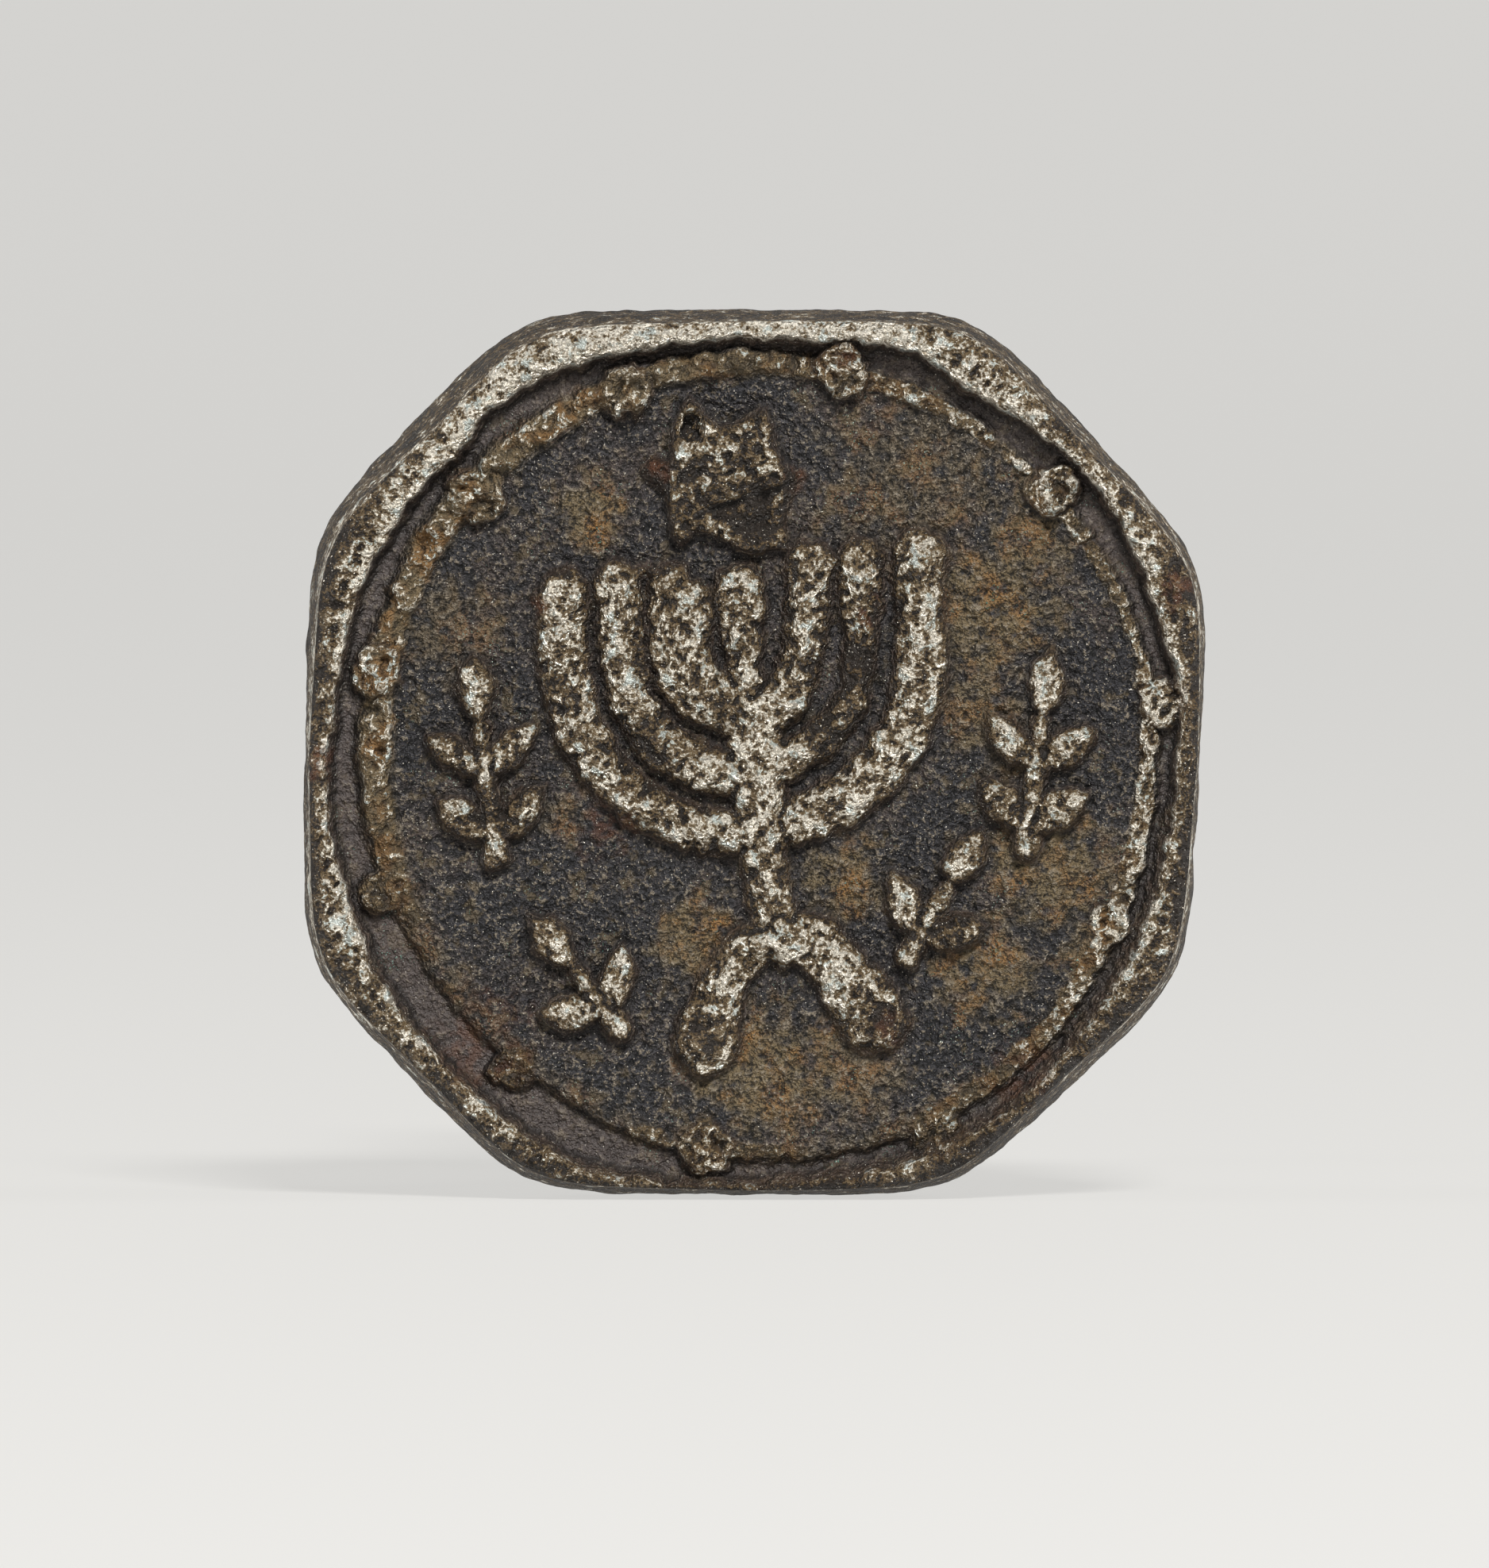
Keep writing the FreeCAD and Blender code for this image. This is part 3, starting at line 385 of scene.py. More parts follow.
def break_star(x, y, broad):
    """The height of the star's broken top above the field: a pit in one horn, two ledges and torn points."""
    rise = PICTURE_RISE + 0.02 + 0.09 * broad
    rise -= 0.36 * smooth_step(0.4, 0.14, np.hypot(x - STAR_PIT[0], 0.75 * (y - STAR_PIT[1])))
    for from_x, from_y, drop in LEDGES:
        along = 0.95 * (x - from_x) + 0.31 * (y - from_y)
        below = 0.31 * (x - from_x) - 0.95 * (y - from_y)
        rise -= drop * smooth_step(-0.02, 0.12, below) * smooth_step(1.2, 0.3, below) * smooth_step(-0.5, 0, along)
    torn = smooth_step(1.2, 1.42, np.abs(x + 0.6))
    return rise * (1 - 0.4 * torn), torn


def shape_picture(x, y, worn_x, worn_y, broad):
    """Share, height above the field, depth inside the outline and wear of the lamp, the star and the sprigs."""
    lamp_depth = np.max([inside_stroke(worn_x, worn_y, places) for places in STROKES.values()], axis=0)
    star_depth = inside_outline(worn_x, worn_y, STAR)
    sprig_depth = inside_sprigs(worn_x, worn_y)
    star_rise, torn = break_star(x, y, broad)
    lamp, star = smooth_step(-0.22, 0.03, lamp_depth), smooth_step(-0.16, 0.06, star_depth)
    sprig = smooth_step(-0.2, 0.03, sprig_depth)
    rise = np.max([
        lamp * (PICTURE_RISE - 0.18 + 0.07 * broad + 0.24 * smooth_step(-0.08, 0.44, lamp_depth)),
        star * star_rise,
        sprig * (LEAF_RISE + 0.05 * broad + 0.08 * smooth_step(0, 0.3, sprig_depth)),
    ], axis=0)
    depth = np.max([lamp_depth, star_depth, sprig_depth], axis=0)
    wear = 0.42 - 0.4 * smooth_step(0.12, -0.06, depth) - 0.5 * torn * star
    wear += 0.08 * smooth_step(0.04, 0.16, depth) * smooth_step(0.4, 0.22, depth) + 0.18 * broad
    for spot_x, spot_y, spot_radius, gain in WORN_SPOTS:
        wear += gain * smooth_step(1.3, 0.4, np.hypot(x - spot_x, y - spot_y) / spot_radius)
    return np.max([lamp, star, sprig], axis=0), rise, depth, wear


def shape_face(x, y):
    """Height above the channel's floor and the shares that the finish needs, at each point of the face."""
    worn_x = x + 0.1 * crumble(x, y, TATTER_SIZE, seed=2)
    worn_y = y + 0.1 * crumble(x, y, TATTER_SIZE, seed=3)
    broad, lumps = crumble(x, y, BROAD_SIZE, seed=4), crumble(x, y, LUMP_SIZE, seed=5)
    grain = crumble(x, y, GRAIN_SIZE, 2, seed=6)
    edge = raise_border(worn_x, worn_y, broad, lumps)
    picture, picture_rise, depth, wear = shape_picture(x, y, worn_x, worn_y, broad)

    rise = np.max([edge["field_rise"] + picture_rise, edge["border_rise"], edge["rim_rise"]], axis=0)
    raised = np.max([picture, edge["bead"], edge["line"], edge["rim"]], axis=0)
    flank = np.max([(4 * share * (1 - share)) ** 2 for share in (picture, edge["bead"], edge["rim"])], axis=0)
    wear = picture * wear + (1 - picture) * edge["border_wear"]
    # Painted highlight: the rim's share is paler at its top, where the light falls, as well as worn.
    wear = edge["rim"] * (edge["rim_wear_and_highlight"] + 0.22 * broad) + (1 - edge["rim"]) * wear + 0.12 * lumps
    moat = smooth_step(-0.5, -0.15, depth) * (1 - picture)
    channel = (1 - edge["field"]) * (1 - edge["rim"]) * (1 - edge["bead"]) * (1 - edge["line"])
    smooth = np.clip(0.85 * channel + 0.35 * moat, 0, 1) * (1 - raised)

    crust = np.maximum(spread_spots(x, y, CRUSTS, lumps) * (1 - 0.9 * channel), edge["earth"])
    crust *= (1 - picture) * (1 - edge["rim"])
    rust = spread_spots(x, y, RUSTS, lumps)
    pits = scatter(worn_x + 0.08 * grain, worn_y - 0.08 * lumps, PIT_GAP) * np.clip(0.75 + 1.2 * lumps, 0.2, 1)
    rough = 1 - 0.85 * smooth
    height = rise - 0.03 * moat + 0.03 * broad * (1 - 0.5 * smooth)
    height += rough * (0.065 * lumps + 0.05 * grain) + raised * 0.04 * lumps
    height -= pits * (0.08 * raised + 0.05 * rough * (1 - raised))
    height += 0.03 * crust * (1 + grain)
    return height, {"raised": raised, "flank": flank, "smooth": smooth, "crust": crust, "rust": rust, "wear": wear}


height, shares = shape_face(np.array([0.0, 3.75]), np.array([0.0, 2.7]))
print("heights of the stem and a branch:", height.round(3))

# %% [markdown]
# The seal is one closed skin. A fine square grid is pulled out to the octagon and lifted to the heights, then its
# edge is extruded ring by ring: round the arris, down the leaning side, under the back and in towards the hoop's
# flat, where the last ring is filled. The grid lies flat with its face up, and it is turned upright at the end.

# %% Skin of the seal
CELLS = 270
BACK_LEVEL, BACK_BEVEL = 9.7, 0.3
SIDE_RINGS, BACK_RINGS = 11, 9
ARRIS_DROP, ARRIS_WIDTH = 0.26, 0.42
HIDDEN_HALF_WIDTH, HIDDEN_HALF_HEIGHT = 4.4, 7.3


def pull_to_outline(skin):
    """Pulls a square grid out to the face's outline, keeping each point's direction from the middle."""
    flat = np.array([corner.co[:2] for corner in skin.verts])
    angles = np.arctan2(flat[:, 1], flat[:, 0])
    reach = np.abs(flat).max(axis=1) * face_radius(angles)
    return reach * np.cos(angles), reach * np.sin(angles)


def lift_face(skin):
    """Lifts the grid to the heights of the face, rounded off towards its edge."""
    x, y = pull_to_outline(skin)
    height, shares = shape_face(x, y)
    from_edge = face_radius(np.arctan2(y, x)) - np.hypot(x, y)
    drop = ARRIS_DROP * (1 - np.clip(from_edge / ARRIS_WIDTH, 0, 1)) ** 2
    height = np.minimum(height - drop, RIM_RISE)
    for corner, *place in zip(skin.verts, x, y, FLOOR_LEVEL + height):
        corner.co = place
    return shares


def add_ring(skin, edges, place_of):
    """Extrudes an open edge once and sends each new corner to the place that a rule gives for its direction."""
    new = bmesh.ops.extrude_edge_only(skin, edges=edges)["geom"]
    for corner in new:
        if isinstance(corner, bmesh.types.BMVert):
            corner.co = place_of(math.atan2(corner.co.y, corner.co.x))
    return [edge for edge in new if isinstance(edge, bmesh.types.BMEdge)]


def side_place(share):
    """A rule for a ring of the side, from the face's edge at 0 to the start of the back's bevel at 1."""
    def place_of(angle):
        edge_level = FLOOR_LEVEL + RIM_RISE - ARRIS_DROP
        level = edge_level + (BACK_LEVEL + BACK_BEVEL - edge_level) * share
        reach = outline_radius(angle) - around(FACE_INSET, angle) * (1 - share) ** 1.5
        worn = noise.fractal((reach * math.cos(angle) / 0.9, reach * math.sin(angle) / 0.9, level), 1.0, 2.0, 4)
        reach -= 0.05 * (1 + worn) * min(1, 4 * share)
        return reach * math.cos(angle), reach * math.sin(angle), level
    return place_of


def back_place(share):
    """A rule for a ring of the back, from its edge at 0 to the flat that the hoop hides at 1."""
    def place_of(angle):
        outer = outline_radius(angle) - BACK_BEVEL - 0.05
        inner = min(HIDDEN_HALF_WIDTH / max(abs(math.cos(angle)), 1e-6),
                    HIDDEN_HALF_HEIGHT / max(abs(math.sin(angle)), 1e-6))
        reach = outer + (inner - outer) * share
        x, y = reach * math.cos(angle), reach * math.sin(angle)
        worn = noise.fractal((x / 1.6, y / 1.6, 7), 1.0, 2.0, 4)
        return x, y, BACK_LEVEL + max(0, 0.05 * (1 + worn) * (1 - share))
    return place_of


def make_seal_skin():
    skin = bmesh.new()
    bmesh.ops.create_grid(skin, x_segments=CELLS, y_segments=CELLS, size=1)
    shares = lift_face(skin)
    edges = [edge for edge in skin.edges if edge.is_boundary]
    for i in range(1, SIDE_RINGS + 1):
        edges = add_ring(skin, edges, side_place(i / SIDE_RINGS))
    for i in range(BACK_RINGS + 1):
        edges = add_ring(skin, edges, back_place(i / BACK_RINGS))
    bmesh.ops.contextual_create(skin, geom=edges)
    bmesh.ops.recalc_face_normals(skin, faces=skin.faces)
    return skin, shares


seal_skin, seal_shares = make_seal_skin()
print(len(seal_skin.verts), "corners;", sum(len(face.verts) - 2 for face in seal_skin.faces), "triangles")

# %% [markdown]
# Finished pieces stay at the origin, so the turn upright and the change to metres are made on the mesh. The skin
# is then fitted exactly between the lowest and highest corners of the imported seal, and the shares are written on
# its corners for the finish to read. Hollows are found by comparing each corner with the mean of its neighbours, a
# few edges out.

# %% Hang the seal in its place
UPRIGHT = Matrix.Rotation(math.radians(90), 4, "X")
HOLLOW_ROUNDS, HOLLOW_DEPTH = 3, 0.04


def mesh_from(skin, name):
    """Turns a bmesh into a smooth-shaded object."""
    mesh = bpy.data.meshes.new(name)
    skin.to_mesh(mesh)
    skin.free()
    mesh.shade_smooth()
    return add_object(name, mesh)


def places_of(piece):
    return np.array([corner.co for corner in piece.data.vertices])


def fit_between(piece, low, high):
    """Stretches a mesh by a hair so that it fills the space between two corners."""
    places, low, high = places_of(piece), np.array(low), np.array(high)
    own_low, own_high = places.min(axis=0), places.max(axis=0)
    places = low + (places - own_low) / (own_high - own_low) * (high - low)
    piece.data.vertices.foreach_set("co", places.ravel())
    piece.data.update()


def keep_share(piece, name, values, rest=0.0):
    """Writes a share on the corners of a piece. The corners past the end of the list get one value."""
    padded = np.full(len(piece.data.vertices), rest)
    padded[:len(values)] = values
    piece.data.attributes.new(name, "FLOAT", "POINT").data.foreach_set("value", padded)


def find_hollows(piece):
    """How far each corner lies below its surroundings, as a share of a small depth."""
    count = len(piece.data.vertices)
    ends = np.zeros(2 * len(piece.data.edges), int)
    piece.data.edges.foreach_get("vertices", ends)
    ends = ends.reshape(-1, 2)
    height = -places_of(piece)[:, 1] / MM
    mean, neighbours = height, np.bincount(ends.ravel(), minlength=count)
    for _ in range(HOLLOW_ROUNDS):
        total = np.bincount(ends[:, 0], mean[ends[:, 1]], count) + np.bincount(ends[:, 1], mean[ends[:, 0]], count)
        mean = total / neighbours
    return np.clip((mean - height) / HOLLOW_DEPTH, -1, 1)


def wear_and_highlight_of_sides(piece, first):
    """Wear of the corners past the face, dull towards the back, and painted highlight on the front of the left and
    right sides.
    """
    x, y, z = places_of(piece)[first:].T / MM
    sideways = np.abs(x) / np.hypot(x, z)
    return 0.24 + 0.36 * smooth_step(10.4, 12.3, -y) * sideways ** 6 + 0.24 * crumble(x, z, 0.9, seed=8, z=2 * y)


seal_skin.transform(Matrix.Scale(MM, 4) @ UPRIGHT)
seal = mesh_from(seal_skin, "seal_face")
fit_between(seal, *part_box("seal_plate"))
# The sides' share adds painted highlight on the left and right sides to the wear.
seal_shares["wear"] = np.append(seal_shares["wear"], wear_and_highlight_of_sides(seal, len(seal_shares["wear"])))
seal_shares["hollow"] = find_hollows(seal)
for name, values in seal_shares.items():
    keep_share(seal, name, values, rest=float(name == "raised"))
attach(seal, "root")
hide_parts("seal_plate")
print("seal:", [round(length / MM, 2) for length in seal.dimensions])

# %% [markdown]
# The hoop was bent from a forged strip whose ends splay to carry the seal. A rounded section is spun round the
# finger hole from one side of the seam to the other, which leaves the seam open, and every corner is then moved
# out or in to the hoop's own outline: round at the back, straight towards the flat, and widening on the way.

# %% Hoop
BORE_RADIUS, HOOP_RADIUS, TABLE_HALF = 8.6, 9.9, 7.7
SECTION_HALF, SHOULDER_HALF, SHOULDER_START = 2.3, 4.8, 0.6
SHOULDER_RUN = BACK_LEVEL + SHOULDER_START
SHOULDER_CURVE = ((SHOULDER_HALF - SECTION_HALF) ** 2 + SHOULDER_RUN ** 2) / (2 * (SHOULDER_HALF - SECTION_HALF))
OUTER_ROUNDING, INNER_ROUNDING = 0.5, 0.28
SEAM_ANGLE = math.radians(1.0)
HOOP_STEPS = 420
TABLE_CORNER = math.atan2(TABLE_HALF, BACK_LEVEL)
TANGENT_ANGLE = TABLE_CORNER + math.acos(HOOP_RADIUS / math.hypot(TABLE_HALF, BACK_LEVEL))


def hoop_reach(turn):
    """The hoop's outer surface, by the angle from the middle of the flat under the seal."""
    turn = abs(turn)
    if turn < TABLE_CORNER:
        return BACK_LEVEL / math.cos(turn)
    if turn < TANGENT_ANGLE:
        return HOOP_RADIUS / math.cos(turn - TANGENT_ANGLE)
    return HOOP_RADIUS


def hoop_half_width(forward):
    """Half the hoop's width, by how far forward of the finger hole's middle the metal is."""
    run = max(0, forward + SHOULDER_START)
    return SECTION_HALF + SHOULDER_CURVE - math.sqrt(SHOULDER_CURVE ** 2 - min(run, SHOULDER_RUN) ** 2)


def spread_from(value, half, rounding, extra):
    """Moves a rounded end bodily by some extra length and stretches what lies between the ends."""
    return value + extra * max(-1, min(1, value / (half - rounding)))


def make_hoop_skin():
    skin = bmesh.new()
    thickness = HOOP_RADIUS - BORE_RADIUS
    section = bmesh.ops.create_grid(skin, x_segments=1, y_segments=1, size=0.5)["verts"]
    bmesh.ops.scale(skin, verts=section, vec=(2 * SECTION_HALF, thickness, 1))
    bmesh.ops.translate(skin, verts=section, vec=(0, BORE_RADIUS + thickness / 2, 0))
    outer = [corner for corner in skin.verts if corner.co.y > BORE_RADIUS + thickness / 2]
    inner = [corner for corner in skin.verts if corner not in outer]
    for corners, rounding, segments in ((outer, OUTER_ROUNDING, 6), (inner, INNER_ROUNDING, 4)):
        bmesh.ops.bevel(skin, geom=corners, offset=rounding, affect="VERTICES", segments=segments, profile=0.5,
                        material=-1)
    for face in list(skin.faces):
        skin.faces.remove(face)
    long_edges = [edge for edge in skin.edges if edge.calc_length() > 1]
    bmesh.ops.subdivide_edges(skin, edges=long_edges, cuts=19)
    bmesh.ops.rotate(skin, verts=skin.verts, matrix=Matrix.Rotation(math.pi - SEAM_ANGLE, 3, "X"))
    bmesh.ops.spin(skin, geom=list(skin.verts) + list(skin.edges), cent=(0, 0, 0), axis=(-1, 0, 0),
                   angle=2 * math.pi - 2 * SEAM_ANGLE, steps=HOOP_STEPS)
    bmesh.ops.holes_fill(skin, edges=[edge for edge in skin.edges if edge.is_boundary])
    bmesh.ops.recalc_face_normals(skin, faces=skin.faces)
    return skin


def seat_hoop(skin):
    """Moves each corner of the spun section to the hoop's real outline and widths."""
    for corner in skin.verts:
        x, forward, up = corner.co.x, -corner.co.y, corner.co.z
        turn = math.atan2(up, forward)
        reach = BORE_RADIUS + spread_from(math.hypot(forward, up) - BORE_RADIUS, HOOP_RADIUS - BORE_RADIUS,
                                          OUTER_ROUNDING, hoop_reach(turn) - HOOP_RADIUS)
        forward, up = reach * math.cos(turn), reach * math.sin(turn)
        widening = hoop_half_width(forward) - SECTION_HALF
        corner.co = spread_from(x, SECTION_HALF, OUTER_ROUNDING, widening), -forward, up


hoop_skin = make_hoop_skin()
seat_hoop(hoop_skin)
print(len(hoop_skin.verts), "corners in the hoop")

# %% [markdown]
# Hammer and wear leave the forged hoop with broad soft facets and small dents. They only ever go inwards, so the
# hoop keeps its size, and they fade out towards the flat that the seal sits on.

# %% Wear of the hoop
HOOP_DENTS = ((2.6, 0.12), (0.5, 0.05))
TABLE_FADE_START, TABLE_FADE_RUN = 8.9, 0.5


def wear_inwards(skin, depths, still=lambda place: 0):
    """Sinks each corner along its normal by noise of some sizes, less where still is nearer 1."""
    skin.normal_update()
    for corner in skin.verts:
        depth = sum(amount * (0.5 + 0.5 * noise.fractal(corner.co / size, 1.0, 2.0, 3)) for size, amount in depths)
        corner.co -= corner.normal * max(0, depth) * (1 - still(corner.co))


def near_table(place):
    return max(0, min(1, (-place.y - TABLE_FADE_START) / TABLE_FADE_RUN))


wear_inwards(hoop_skin, HOOP_DENTS, near_table)
hoop_skin.transform(Matrix.Scale(MM, 4))
hoop = mesh_from(hoop_skin, "worn_hoop")
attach(hoop, "root")
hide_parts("hoop")
print("hoop:", [round(length / MM, 2) for length in hoop.dimensions])

# %% [markdown]
# Solder flows into a hollow fillet with a slightly lumpy skin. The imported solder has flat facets, so a welded
# copy of it is remeshed into small even cells, smoothed and stirred a little.

# %% Solder
SOLDER_CELL = 0.07


def melt(node, name, rounds, lumps):
    """A soft, slightly lumpy copy of a packed solder joint."""
    source = bmesh.new()
    source.from_mesh(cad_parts[node].data)
    bmesh.ops.remove_doubles(source, verts=source.verts, dist=0.001 * MM)
    rough = mesh_from(source, name + "_rough")
    cells = rough.modifiers.new("cells", "REMESH")
    cells.mode = "VOXEL"
    cells.voxel_size = SOLDER_CELL * MM
    shown = rough.evaluated_get(bpy.context.evaluated_depsgraph_get())
    skin = bmesh.new()
    skin.from_mesh(shown.to_mesh())
    shown.to_mesh_clear()
    bpy.data.objects.remove(rough)
    bmesh.ops.scale(skin, verts=skin.verts, vec=(1 / MM,) * 3)
    for _ in range(rounds):
        bmesh.ops.smooth_vert(skin, verts=skin.verts, factor=0.5, use_axis_x=True, use_axis_y=True, use_axis_z=True)
    wear_inwards(skin, lumps)
    bmesh.ops.scale(skin, verts=skin.verts, vec=(MM,) * 3)
    piece = mesh_from(skin, name)
    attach(piece, "root")
    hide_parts(node)
    return piece


bezel_fillet = melt("bezel_solder", "bezel_fillet", 3, ((0.8, 0.05),))
seam_fill = melt("seam_solder", "seam_fill", 1, ((0.5, 0.02),))
print("solder:", len(bezel_fillet.data.polygons), "and", len(seam_fill.data.polygons), "faces")

# %% [markdown]
# The finishes are node trees, and most of a tree is arithmetic. A small class stands for a value that varies over
# the surface, so that sums, products and differences of such values read like Python's own and add their Math
# nodes. One method adds any other node.

# %% Values that vary over a surface


class Signal:
    """A socket that can be added, multiplied and compared like a number."""

    def __init__(self, finish, socket):
        self.finish, self.socket = finish, socket

    def maths(self, operation, *terms, clamp=False):
        settings = {"operation": operation, "use_clamp": clamp}
        return self.finish.node("ShaderNodeMath", settings, dict(enumerate(terms)))

    def __add__(self, other):
        return self.maths("ADD", self, other)

    def __sub__(self, other):
        return self.maths("SUBTRACT", self, other)

    def __rsub__(self, other):
        return self.maths("SUBTRACT", other, self)

    def __mul__(self, other):
        return self.maths("MULTIPLY", self, other)

    __radd__, __rmul__ = __add__, __mul__

    def between(self, low, high):
        """Runs smoothly from 0 where this is low to 1 where it is high."""
        settings = {"interpolation_type": "SMOOTHSTEP"}
        inputs = {"Value": self, "From Min": low, "From Max": high}
        return self.finish.node("ShaderNodeMapRange", settings, inputs)

    def clamped(self):
        return self.maths("ADD", self, 0.0, clamp=True)


class Finish:
    """A material under construction."""

    def __init__(self, name):
        self.material = bpy.data.materials.new(name)
        self.material.use_nodes = True
        self.tree = self.material.node_tree
        self.shader = self.tree.nodes["Principled BSDF"]
        place = self.node("ShaderNodeTexCoord", output="Object")
        settings = {"operation": "SCALE"}
        self.place = self.node("ShaderNodeVectorMath", settings, {"Vector": place, "Scale": 1 / MM})

    def set_input(self, socket, value):
        if isinstance(value, Signal):
            self.tree.links.new(value.socket, socket)
        elif isinstance(value, tuple) and len(value) == 3 and socket.type == "RGBA":
            socket.default_value = (*value, 1)
        else:
            socket.default_value = value

    def node(self, kind, settings=None, inputs=None, output=None):
        """Adds a node, gives it its settings, then its inputs by name or number, and returns an output."""
        node = self.tree.nodes.new(kind)
        for name, value in (settings or {}).items():
            setattr(node, name, value)
        for key, value in (inputs or {}).items():
            named = [socket for socket in node.inputs if socket.enabled and socket.name == key]
            self.set_input(node.inputs[key] if isinstance(key, int) else named[0], value)
        enabled = [socket for socket in node.outputs if socket.enabled and output in (None, socket.name)]
        return Signal(self, enabled[0])

    def share(self, name):
        """A share that was written on the corners of the piece."""
        return self.node("ShaderNodeAttribute", {"attribute_name": name}, output="Fac")

    def lumps(self, size, detail=2.0, roughness=0.55, shift=0.0):
        """Noise from 0 to 1 with lumps of a size in millimetres."""
        inputs = {0: self.place, 1: (shift, 2 * shift, 3 * shift)}
        place = self.node("ShaderNodeVectorMath", {"operation": "ADD"}, inputs)
        inputs = {"Vector": place, "Scale": 1 / size, "Detail": detail, "Roughness": roughness}
        return self.node("ShaderNodeTexNoise", None, inputs)

    def net(self, size):
        """A ragged net with meshes of about a size: low in its meshes, high along its cords."""
        shake = self.node("ShaderNodeTexNoise", None, {"Vector": self.place, "Scale": 1.6 / size}, output="Color")
        settings, inputs = {"operation": "MULTIPLY_ADD"}, {0: shake, 1: (0.8 * size,) * 3, 2: self.place}
        inputs = {"Vector": self.node("ShaderNodeVectorMath", settings, inputs), "Scale": 1 / size}
        return self.node("ShaderNodeTexVoronoi", None, inputs, output="Distance")

    def blend(self, share, under, over):
        """Lays one colour over another by a share."""
        settings = {"data_type": "RGBA", "clamp_factor": True}
        return self.node("ShaderNodeMix", settings, {"Factor": share, "A": under, "B": over})

    def relief(self, height, depth):
        """A normal that shows a height from 0 to 1 as a relief of some depth in millimetres."""
        return self.node("ShaderNodeBump", None, {"Strength": 1.0, "Distance": depth * MM, "Height": height})

    def wear(self, **inputs):
        for name, value in inputs.items():
            self.set_input(self.shader.inputs[name.replace("_", " ").title()], value)


def colour(red, green, blue):
    """A colour as a screen shows it, from 0 to 255, in the linear light that materials use."""
    return tuple((c / 255 / 12.92) if c <= 10 else ((c / 255 + 0.055) / 1.055) ** 2.4 for c in (red, green, blue))


print("mid grey:", [round(c, 3) for c in colour(128, 128, 128)])

# %% [markdown]
# The seal's patina is layered as it grew. In the hollows lie slate, plum and soot, with crusts of earth on top; the
# soot colour there also stands for painted shade at the feet of the relief, the walls are painted brown as patina
# and as painted shade, the grain of the field is made paler on its high spots as pale dust and painted highlight,
# and pale specks are painted highlights. What stands proud is a rough cast skin, made of a ragged net and noise of
# three sizes: its pits stayed dark, its slopes olive brown, and its tops were rubbed to pale metal. The wear share
# moves the limits between them, so a rubbed edge shows a lot of metal and a sheltered one hardly any; it also
# carries painted highlight on the top of the rim and on the seal's left and right sides. The net feeds the relief
# too, so that colour and shape agree.

# %% Finish of the cast seal
SLATE, PLUM, SOOT_AND_SHADE = colour(53, 52, 55), colour(79, 69, 64), colour(17, 15, 13)
DUST_AND_HIGHLIGHT, EARTH, OCHRE = colour(148, 136, 118), colour(118, 102, 74), colour(148, 109, 62)
PIT, OLIVE, UMBER = colour(37, 28, 19), colour(94, 75, 47), colour(72, 50, 27)
KHAKI, PALE, FROST = colour(130, 114, 88), colour(246, 238, 222), colour(218, 224, 217)
RUST, VERDIGRIS = colour(104, 62, 36), colour(66, 128, 114)


